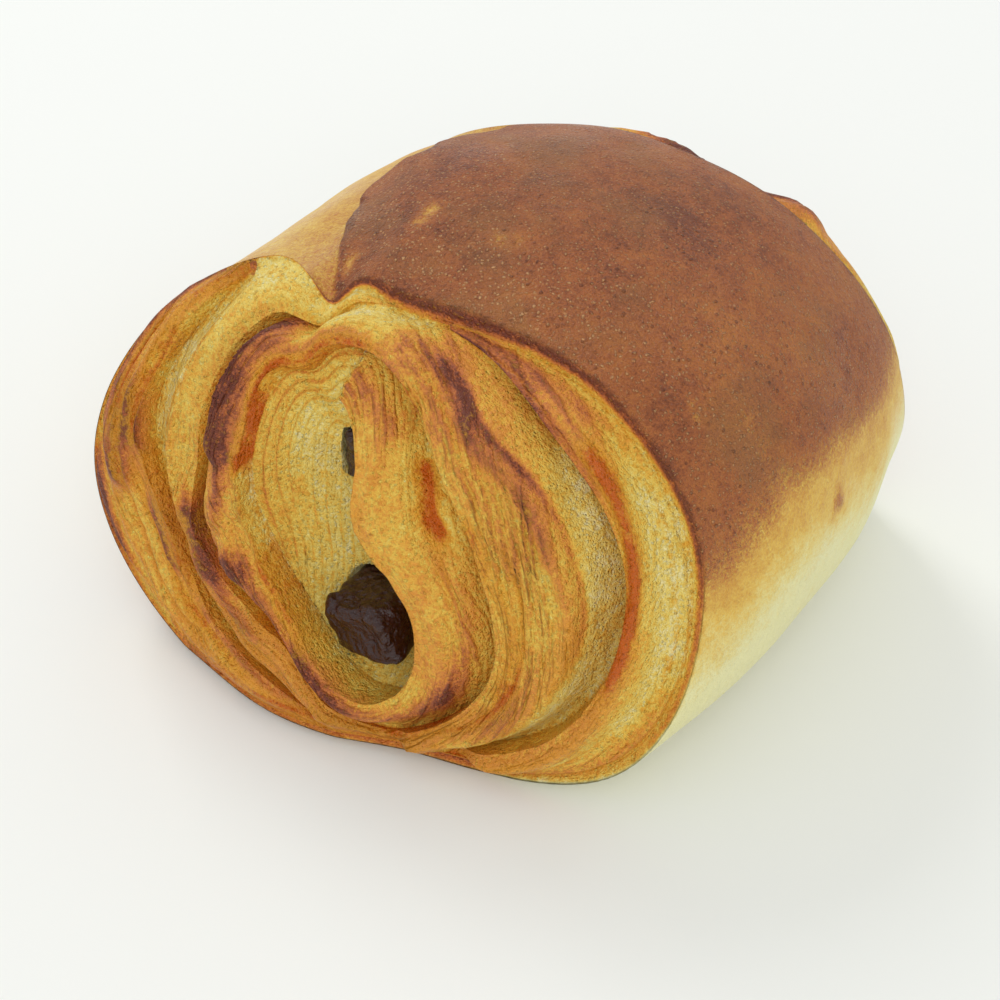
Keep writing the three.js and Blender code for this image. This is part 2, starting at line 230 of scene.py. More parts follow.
@dataclass(frozen=True)
class RollSizes:
    """The sizes that the dough's solid is made from, in millimetres, and those of its finer relief.

    Attributes:
        half_width: half the loaf's width at its fullest.
        crown_height: the height of its crown.
        broadest_height: the height at which it is broadest.
        crown_power: how square its section is above that height.
        base_power: how square it is below.
        sole_pressed: how far the sole is pressed flat.
        axis_x: the roll's axis along X.
        axis_z: the roll's axis along Z.
        end_dome_power: how the ends dome out towards their middle.
        side_swell_power: how the sides swell between the rims.
        near_middle_y: the middle of the near end along Y.
        far_middle_y: the middle of the far end along Y.
        near_rim: the rim of the near end.
        far_rim: the rim of the far end.
        rim_clearance: how far the rims stay off the ground.
        lip_droop: how far the tip of the crust's lip droops.
        lip_reach: how far that tip reaches out along Y.
        lip_tip_hour: where the tip is.
        lip_tip_hours: half its breadth, in hours.
        edge_radius: the brow line's distance from the axis at every hour of the spiral's turns.
        brow_height: the height of a layer's brow, by quarter of a turn, as are the next four.
        crest_height: the height of its highest line.
        crest_place: that line's share of the way across.
        undercut: how far the groove is tucked under the brow.
        groove_depth: how deep the groove is.
        lip_inset: how far in from the rim the last groove lies, at the hours 12, 1, 2 ... 11.
        lip_depth: how deep it is, at the same hours.
        brow_place: the brow's share of the way across a layer.
        full_relief_width: the breadth of a layer from which its relief is full.
        thinnest_layer: the breadth under which a layer counts as ended.
        far_relief: how strong the far end's relief is beside the near end's.
        bowl_curve: how the bowl's floor curves.
        leaf_spacing: the breadth of a leaf of the layers.
        bowl_leaf_spacing: the breadth of a step of the bowl.
    """

    half_width: float = 47.0
    crown_height: float = 59.0
    broadest_height: float = 20.0
    crown_power: float = 2.25
    base_power: float = 3.4
    sole_pressed: float = 0.5
    axis_x: float = -6.0
    axis_z: float = 32.0
    end_dome_power: float = 1.7
    side_swell_power: float = 2.2
    near_middle_y: float = -39.0
    far_middle_y: float = 36.0
    near_rim: Rim = Rim(
        radius=(23.6, 26.8, 36.2, 47.1, 51.8, 34.6, 32.0, 35.8, 41.0, 36.8, 33.0, 27.8),
        y=(-19.6, -17.2, -16.0, -20.0, -33.8, -45.0, -50.0, -48.6, -44.4, -39.8, -28.4, -20.5),
    )
    far_rim: Rim = Rim(
        radius=(22.6, 26.4, 36.0, 47.0, 51.3, 36.6, 31.8, 36.0, 41.4, 34.6, 28.2, 23.6),
        y=(27.6, 28.4, 29.6, 32.2, 37.2, 40.5, 40, 37.5, 31, 26, 22.5, 24.2),
    )
    rim_clearance: float = 1.2
    lip_droop: float = 4.5
    lip_reach: float = 3.0
    lip_tip_hour: float = 11.22
    lip_tip_hours: float = 0.26
    edge_radius: tuple = (
        13.3, 9.4, 6.8, 9.0, 19.2, 26.8, 16.0, 12.4, 11.4, 10.6, 12.2, 16.8,
        17.9, 17.5, 17.9, 22.2, 30.4, 31.3, 21.3, 21.4, 22.2, 17.9, 20.4, 22.5,
        21.7, 23.6, 29.7, 38.6, 41.4, 34.2, 27.9, 27.4, 26.1, 28.2, 28.6, 28.9,
    )
    brow_height: tuple = (0.6, 3.0, 2.2, 2.0, 2.0, 2.2, 1.4, 1.0, 0.8, 1.8, 1.0, 1.6, 0.6)
    crest_height: tuple = (1.0, 3.2, 2.6, 3.2, 2.6, 3.8, 2.6, 1.4, 1.6, 2.6, 1.8, 2.6, 0.8)
    crest_place: tuple = (0.4, 0.3, 0.4, 0.55, 0.5, 0.56, 0.4, 0.5, 0.4, 0.3, 0.5, 0.5, 0.4)
    undercut: tuple = (0.6, 2.0, 0.8, 0.4, 0.6, 1.6, 0.9, 0.5, 0.6, 1.6, 0.8, 0.6, 0.6)
    groove_depth: tuple = (0.6, 9.0, 3.0, 1.0, 0.4, 2.6, 1.2, 2.6, 0.6, 3.0, 1.6, 2.0, 0.6)
    lip_inset: tuple = (1.1, 1.3, 1.3, 1.2, 0.9, 0.6, 0.4, 0.3, 0.3, 0.3, 0.2, 0.3)
    lip_depth: tuple = (1.5, 1.8, 1.8, 1.8, 1.6, 1.0, 0.6, 0.5, 0.5, 0.4, 0.2, 0.2)
    brow_place: float = 0.08
    full_relief_width: float = 4.0
    thinnest_layer: float = 0.4
    far_relief: float = 0.85
    bowl_curve: float = 1.6
    leaf_spacing: float = 1.15
    bowl_leaf_spacing: float = 1.5


SIZES = RollSizes()


@dataclass(frozen=True)
class Fold:
    """A ridge, a groove or a baked streak that runs along the layers of an end.

    Attributes:
        hour: where it starts.
        end_hour: where it ends.
        share: its place across the layer at its start.
        end_share: its place across the layer at its end.
        width: half its breadth, in millimetres.
        height: how far it stands out, or below 0 how deep it is, in millimetres.
        bake: how much browner it is than the dough beside it.
        syrup: how far its butter and sugar have run into a glossy orange.
        leaves: how much stronger the thin leaves of dough show in it.
        taper: over how many hours it fades in and out at its ends.
    """

    hour: float
    end_hour: float
    share: float
    end_share: float
    width: float
    height: float = 0.0
    bake: float = 0.0
    syrup: float = 0.0
    leaves: float = 0.0
    taper: float = 0.4

    def mark(self, hour: np.ndarray, share: np.ndarray, breadth: np.ndarray) -> np.ndarray:
        """Return how strongly the fold shows at each point.

        Args:
            hour: the points' hours.
            share: the points' places across the layer.
            breadth: the layer's breadth at each point, in millimetres.

        Returns:
            The strengths, from 0 to 1.
        """
        middle = lerp(self.share, self.end_share, ease((hour - self.hour) / (self.end_hour - self.hour)))
        ends = ease((hour - self.hour) / self.taper + 1.0) * ease((self.end_hour - hour) / self.taper + 1.0)
        return bump((share - middle) * breadth, self.width) * ends


FOLDS = (
    Fold(0.0, 1.0, 0.42, 0.62, 1.9, height=0.4, bake=0.42, leaves=0.5),
    Fold(1.0, 4.2, 0.10, 0.10, 0.9, bake=0.16, syrup=0.25, leaves=-0.5),
    Fold(1.4, 4.2, 0.35, 0.35, 2.2, bake=0.18, leaves=-0.45),
    Fold(1.9, 2.6, 0.78, 0.68, 0.9, height=-1.1, bake=0.10, syrup=1.0, leaves=-0.5),
    Fold(2.5, 3.2, 0.66, 0.60, 0.9, height=-0.4, bake=0.36, syrup=0.35),
    Fold(3.2, 4.4, 0.72, 0.62, 1.3, height=1.3, bake=0.36, leaves=0.4),
    Fold(4.4, 5.6, 0.62, 0.25, 1.3, height=0.8, bake=0.42, leaves=0.4),
    Fold(2.4, 4.0, 0.92, 0.92, 1.0, bake=-0.02, syrup=0.30, leaves=-0.4),
    Fold(5.9, 7.0, 0.10, 0.10, 0.8, height=0.3, bake=0.12, syrup=0.75, leaves=-0.2),
    Fold(5.4, 7.4, 0.42, 0.45, 1.5, height=1.2, bake=0.48, leaves=0.5),
    Fold(6.7, 7.2, 0.72, 0.68, 0.9, height=-0.4, syrup=0.6),
    Fold(7.3, 8.1, 0.50, 0.85, 1.9, height=0.7, bake=0.58, leaves=0.5),
    Fold(8.2, 9.6, 0.45, 0.42, 1.0, height=0.6, bake=0.30, leaves=0.4),
    Fold(9.7, 10.9, 0.42, 0.78, 1.5, height=1.1, bake=0.80, leaves=0.5),
    Fold(9.4, 10.8, 0.10, 0.10, 0.7, height=-0.6, bake=0.10, syrup=0.95),
    Fold(10.9, 12.5, 0.40, 0.14, 0.9, height=0.4, bake=0.42, leaves=0.4),
    Fold(11.3, 12.7, 0.64, 0.60, 2.2, bake=-0.26, leaves=-0.2),
    Fold(11.2, 12.0, 0.12, 0.12, 0.6, height=-0.3, syrup=0.7),
    Fold(12.5, 13.6, 0.52, 0.48, 0.8, height=0.6, bake=0.42, leaves=0.3),
    Fold(12.9, 14.4, 0.62, 0.60, 1.8, bake=0.20),
    Fold(13.6, 15.4, 0.48, 0.64, 0.8, height=1.1, bake=0.46, syrup=0.15, leaves=0.3),
    Fold(12.6, 14.7, 0.24, 0.30, 2.2, height=0.3, bake=0.14, leaves=0.8),
    Fold(14.5, 15.8, 0.12, 0.24, 1.3, height=0.3, bake=0.18, syrup=0.55, leaves=0.5),
    Fold(14.7, 16.0, 0.40, 0.42, 1.6, bake=0.06, leaves=0.8),
    Fold(15.4, 16.8, 0.62, 0.20, 1.8, height=0.5, bake=0.26, syrup=0.25, leaves=0.5),
    Fold(13.2, 16.0, 0.84, 0.82, 2.2, height=-0.7, bake=-0.10, leaves=-0.9),
    Fold(13.4, 15.6, 0.985, 0.985, 0.8, bake=-0.16, leaves=-0.9),
    Fold(16.6, 18.5, 0.10, 0.15, 0.9, height=0.3, bake=0.18, syrup=0.3),
    Fold(15.8, 17.2, 0.45, 0.40, 1.5, bake=0.26, leaves=0.3),
    Fold(16.8, 18.6, 0.62, 0.55, 1.3, height=0.6, bake=0.26, syrup=0.2),
    Fold(18.4, 20.0, 0.60, 0.50, 1.0, height=0.4, bake=0.28, syrup=0.3),
    Fold(19.4, 20.1, 0.14, 0.12, 1.4, height=0.4, bake=0.50),
    Fold(21.6, 24.2, 0.22, 0.34, 2.0, height=0.5, bake=-0.06, leaves=-0.6),
    Fold(23.0, 24.2, 0.60, 0.66, 2.2, bake=0.14, leaves=-0.6),
    Fold(12.8, 13.9, 0.90, 0.88, 1.6, height=0.3, bake=0.40, leaves=0.4),
    Fold(15.2, 16.6, 0.66, 0.60, 2.0, bake=-0.20, leaves=-0.2),
    Fold(13.2, 15.2, 0.57, 0.70, 0.35, height=-0.4, bake=0.45, leaves=0.2),
    Fold(14.9, 16.3, 0.30, 0.34, 0.35, height=-0.4, bake=0.30, syrup=0.5),
    Fold(9.6, 10.4, 0.28, 0.36, 1.8, height=0.3, bake=0.66, leaves=0.4),
    Fold(8.4, 9.2, 0.34, 0.32, 1.2, height=0.3, bake=0.36, leaves=0.3),
    Fold(33.4, 35.2, 0.30, 0.34, 0.45, height=0.7, bake=0.28),
    Fold(33.2, 33.7, 0.56, 0.58, 0.40, height=-0.7, bake=0.15, syrup=0.6),
    Fold(34.2, 35.6, 0.50, 0.50, 1.6, bake=-0.18),
    Fold(33.0, 34.8, 0.80, 0.80, 0.45, height=0.6, bake=0.30),
    Fold(31.2, 32.6, 0.48, 0.40, 0.45, height=-0.7, bake=0.25, syrup=0.3),
    Fold(30.2, 32.0, 0.86, 0.80, 0.45, height=0.6, bake=0.26),
    Fold(17.2, 18.8, 0.38, 0.36, 0.40, height=-0.5, bake=0.30, syrup=0.2),
    Fold(28.2, 30.4, 0.60, 0.58, 0.45, height=-0.6, bake=0.25, syrup=0.4),
    Fold(19.6, 20.1, 0.52, 0.50, 1.2, height=0.6, bake=0.50),
    Fold(20.2, 23.6, 0.76, 0.80, 2.4, height=-0.2, bake=-0.24, syrup=0.06, leaves=-0.3),
    Fold(20.2, 21.9, 0.50, 0.42, 0.7, height=0.5, bake=0.20, syrup=0.2),
    Fold(18.6, 20.4, 0.28, 0.26, 0.6, height=0.5, bake=0.34),
    Fold(18.8, 20.6, 0.80, 0.78, 0.6, height=-0.4, bake=0.04, syrup=0.5),
    Fold(29.6, 32.2, 0.12, 0.12, 0.7, height=0.5, bake=0.34),
    Fold(30.0, 32.4, 0.62, 0.60, 0.6, height=0.5, bake=0.22, syrup=0.2),
    Fold(30.6, 32.6, 0.28, 0.26, 0.5, height=-0.5, bake=0.08, syrup=0.45),
    Fold(33.2, 35.0, 0.90, 0.88, 0.9, height=0.5, bake=0.40),
    Fold(32.8, 34.6, 0.42, 0.46, 0.6, height=-0.5, bake=0.05, syrup=0.5),
    Fold(21.0, 22.0, 0.62, 0.62, 0.7, height=-0.3, syrup=0.45),
    Fold(24.6, 26.2, 0.14, 0.24, 1.5, height=0.5, bake=0.56, leaves=0.6),
    Fold(25.6, 26.3, 0.52, 0.82, 0.6, height=0.3, bake=0.34),
    Fold(26.3, 27.3, 0.30, 0.16, 0.6, height=1.7, bake=0.30, syrup=1.3, leaves=-0.3),
    Fold(26.2, 27.8, 0.60, 0.62, 1.7, height=-1.5, bake=-0.12, leaves=-0.3),
    Fold(25.6, 27.9, 0.90, 0.90, 0.4, height=0.9, bake=0.05, leaves=-0.3),
    Fold(26.2, 27.5, 0.76, 0.76, 0.35, height=0.7, syrup=0.2),
    Fold(27.4, 28.6, 0.22, 0.30, 1.2, height=0.9, bake=0.34, syrup=0.3),
    Fold(27.8, 28.5, 0.90, 0.92, 1.4, height=0.8, bake=0.50),
    Fold(28.5, 31.0, 0.88, 0.85, 1.4, height=0.5, bake=0.34, syrup=0.15),
    Fold(28.8, 31.2, 0.40, 0.35, 1.1, height=0.6, bake=0.12, syrup=0.3),
    Fold(31.4, 32.6, 0.10, 0.10, 1.0, height=-0.4, bake=0.12, syrup=0.5),
    Fold(32.0, 32.4, 0.92, 0.92, 1.6, height=1.1, bake=0.95),
    Fold(32.7, 33.2, 0.44, 0.40, 2.0, height=1.4, bake=0.95),
    Fold(31.8, 32.1, 0.16, 0.14, 1.3, height=0.8, bake=0.80),
    Fold(32.6, 33.0, 0.10, 0.10, 1.0, height=0.3, bake=0.46),
    Fold(33.1, 33.7, 0.18, 0.16, 0.6, height=-0.6, syrup=0.65),
    Fold(33.0, 34.3, 0.70, 0.74, 1.4, height=0.6, bake=0.24, leaves=0.4),
)

FAR_FOLDS = FOLDS + (
    Fold(25.2, 25.9, 0.84, 0.84, 1.5, height=3.2, bake=0.36, leaves=0.4),
    Fold(26.0, 27.1, 0.80, 0.78, 2.2, height=4.6, bake=0.16, leaves=0.4),
)


@dataclass(frozen=True)
class CrustStep:
    """The low step where the dark crust stands proud of the pale dough to its left.

    Attributes:
        height: how far it stands proud, in millimetres.
        left_edge: the hours of the crust's left edge at six places, from the near rim to the far one.
        right_edge: the hours at which it has paled on the right, at the same places.
        spacing: the share of the way to the far rim between two of these places.
        ragged: how unevenly the left edge runs, in hours.
        blend: the hours that the step takes up.
        fade_hours: the hours over which the dough beside it comes up to its level again.
    """

    height: float = 2.1
    left_edge: tuple = (11.22, 10.82, 10.62, 10.64, 10.74, 10.90)
    right_edge: tuple = (3.08, 2.96, 2.93, 2.98, 3.04, 2.98)
    spacing: float = 0.2
    ragged: Waver = Waver((3.0, 1.0, 1.0), 0.05, 36)
    blend: float = 0.14
    fade_hours: float = 2.6

    def left_hour(self, along: np.ndarray) -> np.ndarray:
        """Return the hour of the crust's left edge."""
        place = np.stack(np.broadcast_arrays(along * OUTSIDE_LENGTH, 0.0, 0.0), -1)
        return smooth_line(self.left_edge, along, self.spacing, False) + self.ragged.at(place)

    def right_hour(self, along: np.ndarray) -> np.ndarray:
        """Return the hour at which the crust has paled to gold on the right."""
        return smooth_line(self.right_edge, along, self.spacing, False)


@dataclass(frozen=True)
class Scuff:
    """A small rubbed spot where the pale dough shows through the crust.

    Attributes:
        hour: its hour, below 0 on the left of the crown.
        along: its share of the way from the near rim to the far one.
        width: half its breadth round the loaf, in millimetres.
        length: half its length along the loaf, in millimetres.
        paler: how much paler it is than the crust beside it, or below 0 how much darker.
    """

    hour: float
    along: float
    width: float
    length: float
    paler: float

    def mark(self, clock: np.ndarray, along: np.ndarray) -> np.ndarray:
        """Return how strongly the spot shows at an hour and a share of the way to the far rim."""
        across = bump((clock - self.hour) * CROWN_HOUR_SPAN, self.width)
        return across * bump((along - self.along) * CROWN_LENGTH, self.length)


SCUFFS = (
    Scuff(-0.36, 0.27, 1.3, 3.2, 0.52),
    Scuff(0.50, 0.26, 1.6, 1.5, 0.46),
    Scuff(-0.80, 0.11, 1.2, 2.4, 0.42),
    Scuff(2.20, 0.13, 1.0, 1.2, 0.42),
    Scuff(2.55, 0.26, 4.0, 2.4, 0.16),
    Scuff(3.15, 0.50, 1.4, 2.2, -0.42),
)


@dataclass(frozen=True)
class FlapGroove:
    """The groove that parts the left flap from the pale dough above it.

    Attributes:
        depth: how deep it is, in millimetres.
        hour: where it runs.
        hours: half its breadth, in hours.
        reach: the share of the way to the far rim at which it has faded out.
    """

    depth: float = 3.0
    hour: float = 10.6
    hours: float = 0.45
    reach: float = 0.6


@dataclass
class Patch:
    """A grid of surface points with what the dough's finish reads at each of them.

    Attributes:
        points: places in millimetres, rows by columns by 3.
        bake: how browned the surface is, from 0 for pale crumb to 1 for nearly burnt.
        syrup: 1 where butter and sugar have run into a glossy orange seam; on the crust, 1 where pale grains
            are painted in as glints and sheen.
        skin: 1 on the smooth outside, 0 on the torn and layered ends.
        leaves: how strongly the thin leaves of dough show.
        layers: distances in millimetres along the layers and across them.
    """

    points: np.ndarray
    bake: np.ndarray
    syrup: np.ndarray
    skin: np.ndarray
    leaves: np.ndarray
    layers: np.ndarray


def section_radius(hour: np.ndarray) -> np.ndarray:
    """Return the distance from the roll's axis to the outside of the fullest section.

    Args:
        hour: the hours.

    Returns:
        The distances, in millimetres.
    """
    angle = hour_angle(hour)
    inner = np.zeros(angle.shape)
    outer = np.full(angle.shape, 2 * SIZES.half_width)
    for _ in range(SEARCH_STEPS):
        middle = (inner + outer) / 2
        x = SIZES.axis_x + middle * np.cos(angle)
        z = SIZES.axis_z + middle * np.sin(angle) - SIZES.broadest_height
        crown = (np.abs(z) / (SIZES.crown_height - SIZES.broadest_height)) ** SIZES.crown_power
        base = (np.abs(z) / (SIZES.broadest_height + SIZES.sole_pressed)) ** SIZES.base_power
        power = np.where(z >= 0, SIZES.crown_power, SIZES.base_power)
        outside = np.abs(x / SIZES.half_width) ** power + np.where(z >= 0, crown, base) > 1
        outer = np.where(outside, middle, outer)
        inner = np.where(outside, inner, middle)
    return inner


def point_at(hour: np.ndarray, radius: np.ndarray, y: np.ndarray) -> np.ndarray:
    """Return points at an hour, a distance from the axis and a place along Y, never below the ground.

    Args:
        hour: the hours.
        radius: the distances from the axis, in millimetres.
        y: the places along Y, in millimetres.

    Returns:
        The points, with X, Y and Z in the last axis.
    """
    angle = hour_angle(hour)
    x = SIZES.axis_x + radius * np.cos(angle)
    z = np.maximum(SIZES.axis_z + radius * np.sin(angle), 0.0)
    return np.stack(np.broadcast_arrays(x, y, z), -1)


@dataclass(frozen=True)
class LeafRelief:
    """The thin leaves and lumps of the torn layers, in millimetres.

    Attributes:
        wander: how the leaves wander across a layer, as a share of the space between two of them.
        wander_share: how much of that the layers take.
        strength: how the leaves' strength varies about its middle.
        middle_strength: that middle.
        height: how high a leaf stands.
        shown: how strongly leaves show between the folds.
        bake: how much browner a leaf's edge is.
        rise: the share of a leaf's breadth over which it rises, before it falls.
        wobble: how the folds' lines wobble.
        patchiness: how unevenly the folds are baked.
        lumps: the lumps of the crumb.
        full_breadth: the breadth of a layer from which its relief is full.
    """

    wander: tuple = (Waver((9.0, 2.6, 1.0), 1.0, 0), Waver((3.5, 1.3, 1.0), 0.5, 1))
    wander_share: float = 0.9
    strength: Waver = Waver((6.0, 2.4, 1.0), 0.75, 2)
    middle_strength: float = 0.55
    height: float = 0.62
    shown: float = 0.62
    bake: float = 0.16
    rise: float = 0.8
    wobble: Waver = Waver((4.0, 3.0, 1.0), 0.5, 3)
    patchiness: Waver = Waver((3.0, 1.5, 1.0), 0.35, 4)
    lumps: tuple = (Waver((3.4, 2.2, 1.0), 0.42, 5), Waver((1.3, 0.9, 1.0), 0.20, 6))
    full_breadth: float = 6.0


@dataclass(frozen=True)
class BowlRelief:
    """The fine steps of dough in the bowl, in millimetres.

    Attributes:
        wander: how the steps wander, as a share of the space between two of them.
        strength: how their strength varies about its middle.
        middle_strength: that middle.
        height: how high a step stands.
        rise: the share of a step's breadth over which it rises, before it falls.
        lumps: the lumps of the crumb.
        floor_bake: how browned the bowl is.
        rim_bake: how much more it is browned towards the layers.
        edge_bake: how much more the edges of its steps are browned.
        shown: how strongly the finish's leaves show in it.
    """

    wander: Waver = Waver((11.0, 4.0, 1.0), 0.5, 7)
    strength: Waver = Waver((5.0, 2.0, 1.0), 0.5, 8)
    middle_strength: float = 0.7
    height: float = 0.9
    rise: float = 0.25
    lumps: Waver = Waver((1.6, 1.0, 1.0), 0.07, 9)
    floor_bake: float = 0.14
    rim_bake: float = 0.20
    edge_bake: float = 0.30
    shown: float = 0.3


@dataclass(frozen=True)
class LayerBake:
    """How browned the layers are between their folds, by quarter of a turn where a tuple says it.

    Attributes:
        brow: the bake of a layer's brow.
        crest: the bake of its highest line.
        valley: the bake of the groove outside it.
        fold_share: how much of a fold's bake counts.
        groove_syrup: how far butter and sugar have run into the grooves.
        flap_syrup: how much less they have on the left flap.
        far_top: how much browner the top of the far end is.
    """

    brow: tuple = (0.34, 0.38, 0.40, 0.42, 0.40, 0.38, 0.46, 0.40, 0.42, 0.46, 0.46, 0.40, 0.44)
    crest: tuple = (0.36, 0.30, 0.40, 0.38, 0.40, 0.33, 0.44, 0.32, 0.34, 0.30, 0.42, 0.34, 0.44)
    valley: tuple = (0.30, 0.32, 0.34, 0.40, 0.30, 0.20, 0.38, 0.30, 0.30, 0.18, 0.40, 0.34, 0.40)
    fold_share: float = 0.74
    groove_syrup: float = 0.34
    flap_syrup: float = 0.24
    far_top: float = 0.35


LEAF_RELIEF = LeafRelief()
BOWL_RELIEF = BowlRelief()
LAYER_BAKE = LayerBake()


def on_flap(hour: np.ndarray) -> np.ndarray:
    """Return 1 on the left flap, which starts at hour 30, and 0 before it."""
    return ease((hour - 30.0) / 2.0)


def layer_place(hour: np.ndarray, across: np.ndarray, plane: float) -> np.ndarray:
    """Return where the layers' random patterns are read, in millimetres along and across a layer."""
    return np.stack(np.broadcast_arrays(hour * LAYER_HOUR_SPAN, across, plane), -1)


@dataclass
class RollEnd:
    """One end of the roll: the spiral of layers, the bowl round the central hole and the lip of the rim.

    Attributes:
        rim: the end's rim.
        middle_y: the middle's place along Y.
        facing: the way that the end faces.
        relief: how strong its relief is, 1 for all of it.
        columns_a_turn: how many columns of points a turn of the spiral has.
        steps: how many points lie across a layer.
        seed: a whole number that picks its random patterns.
        folds: its folds.
    """

    rim: Rim
    middle_y: float
    facing: Facing
    relief: float
    columns_a_turn: int
    steps: int
    seed: int
    folds: tuple = FOLDS

    def shares(self) -> np.ndarray:
        """Return the shares of the grid's rows, closest together on the steep wall up to the brow.

        Returns:
            The shares in order, from 0 to 1.
        """
        wall = np.linspace(0.0, SIZES.brow_place, self.steps // 7 + 2)
        band = np.linspace(SIZES.brow_place, 1.0, self.steps - len(wall) + 2)
        return np.concatenate([wall, band[1:]])

    def lip_tip(self, hour: np.ndarray) -> np.ndarray:
        """Return 1 at the drooping tip of the crust's lip, which only the near end has, falling to 0.

        Args:
            hour: the hours.

        Returns:
            How much of the tip there is at each hour.
        """
        if self.facing is Facing.FAR:
            return np.zeros(hour.shape)
        return bump(hour % HOURS_A_TURN - SIZES.lip_tip_hour, SIZES.lip_tip_hours)

    def rim_radius(self, hour: np.ndarray) -> np.ndarray:
        """Return the distance from the axis to this end's rim, which stays a little off the ground.

        Args:
            hour: the hours.

        Returns:
            The distances, in millimetres.
        """
        plain = smooth_line(self.rim.radius, hour, 1.0, True) - SIZES.lip_droop * self.lip_tip(hour)
        down = np.maximum(-np.sin(hour_angle(hour)), 0.01)
        return np.minimum(plain, (SIZES.axis_z - SIZES.rim_clearance) / down)

    def rim_y(self, hour: np.ndarray) -> np.ndarray:
        """Return the rim's place along Y."""
        return smooth_line(self.rim.y, hour, 1.0, True) - SIZES.lip_reach * self.lip_tip(hour)

    def edge_radius(self, hour: np.ndarray) -> np.ndarray:
        """Return the brow line's distance from the axis, drawn in with the rim where the ends differ.

        Args:
            hour: the hours.

        Returns:
            The distances, in millimetres.
        """
        reach = self.rim_radius(hour)
        table = SIZES.edge_radius + SIZES.near_rim.radius
        radius = smooth_line(table, hour, 1.0, False)
        near_reach = smooth_line(SIZES.near_rim.radius, hour, 1.0, True)
        share = np.clip(radius / near_reach, 0.0, 1.0)
        return np.minimum(radius * lerp(1.0, reach / near_reach, share), reach)

    def groove(self, hour: np.ndarray) -> tuple[np.ndarray, np.ndarray]:
        """Return the radius and the depth of the groove at an hour, tucked under the brow outside it.

        Args:
            hour: the hours.

        Returns:
            The distances from the axis and the depths, in millimetres.
        """
        radius = self.edge_radius(hour) + by_quarter(SIZES.undercut, hour)
        depth = by_quarter(SIZES.groove_depth, hour) * self.relief
        under_rim = self.rim_radius(hour) - smooth_line(SIZES.lip_inset, hour, 1.0, True)
        rim_depth = smooth_line(SIZES.lip_depth, hour, 1.0, True)
        last_turn = hour > HOURS_A_TURN * (TURNS - 1)
        at_rim = last_turn & (under_rim - radius < SIZES.thinnest_layer) | (hour >= HOURS_A_TURN * TURNS)
        return np.where(at_rim, under_rim, radius), np.where(at_rim, rim_depth, depth)

    def surface_point(self, hour: np.ndarray, radius: np.ndarray, height: np.ndarray) -> np.ndarray:
        """Return points at a height above the end's domed base, measured square to that base.

        Args:
            hour: the hours.
            radius: the distances from the axis, in millimetres.
            height: the heights, in millimetres.

        Returns:
            The points, with X, Y and Z in the last axis.
        """
        reach = self.rim_radius(hour)
        drop = self.rim_y(hour) - self.middle_y
        share = np.clip(radius / reach, 0.0, 1.2)
        y = self.middle_y + drop * share**SIZES.end_dome_power
        facing = self.facing.value
        slope = -facing * drop * SIZES.end_dome_power * share ** (SIZES.end_dome_power - 1) / reach
        length = np.hypot(1.0, slope)
        return point_at(hour, radius + height * slope / length, y + facing * height / length)

    def leaves(self, hour: np.ndarray, share: np.ndarray, breadth: np.ndarray) -> tuple:
        """Return the thin leaves of dough.

        Args:
            hour: the points' hours.
            share: the points' places across the layer.
            breadth: the layer's breadth at each point, in millimetres.

        Returns:
            The leaves' height, from -1 to 1, and how close each point is to a leaf's edge.
        """
        leaf = LEAF_RELIEF
        place = layer_place(hour, share * breadth, 0.0)
        wander = sum(waver.at(place, self.seed) for waver in leaf.wander)
        strength = np.clip(leaf.middle_strength + leaf.strength.at(place, self.seed), 0.0, 1.3)
        count = share * breadth / SIZES.leaf_spacing + wander * leaf.wander_share
        saw = count - np.floor(count)
        height = np.where(saw < leaf.rise, saw / leaf.rise, (1.0 - saw) / (1.0 - leaf.rise)) - 0.5
        edge = bump(saw - 0.74, 0.16)
        return height * strength, edge * strength

    def relief_and_finish(self, hour: np.ndarray, share: np.ndarray, breadth: np.ndarray) -> tuple:
        """Work out what the folds and the leaves add to the plain layers.

        Args:
            hour: the points' hours.
            share: the points' places across the layer.
            breadth: the layer's breadth at each point, in millimetres.

        Returns:
            The layers' fine relief in millimetres, their bake, their syrup and how their leaves show.
        """
        leaf = LEAF_RELIEF
        shown = np.full(np.broadcast_shapes(hour.shape, share.shape), leaf.shown)
        height, syrup = np.zeros(shown.shape), np.zeros(shown.shape)
        bake = self.layer_bake(hour, share)
        place = layer_place(hour, share * breadth, 3.0)
        wobble = leaf.wobble.at(place, self.seed)
        patchy = 1.0 + leaf.patchiness.at(place, self.seed)
        for fold in self.folds:
            mark = fold.mark(hour, share + wobble / breadth, breadth)
            height += fold.height * mark
            bake = bake + LAYER_BAKE.fold_share * fold.bake * mark * patchy
            syrup += fold.syrup * mark * patchy
            shown += fold.leaves * mark
        shown = np.clip(shown, 0.05, 1.2)
        deep = np.maximum(1.0 - ease(share / 0.10), ease((share - 0.92) / 0.08))
        syrup += (LAYER_BAKE.groove_syrup - LAYER_BAKE.flap_syrup * on_flap(hour)) * deep * patchy
        leaf_height, leaf_edge = self.leaves(hour, share, breadth)
        lumps = sum(waver.at(place, self.seed) for waver in leaf.lumps)
        height = height * self.relief + leaf_height * shown * leaf.height + lumps
        bake = bake + shown * leaf.bake * (leaf_edge - 0.25)
        clear_of_grooves = ease(share / SIZES.brow_place) * ease((1.0 - share) / 0.06)
        height = height * clear_of_grooves * ease(breadth / leaf.full_breadth)
        return height, np.clip(bake, 0.0, 1.0), np.clip(syrup, 0.0, 1.0), shown

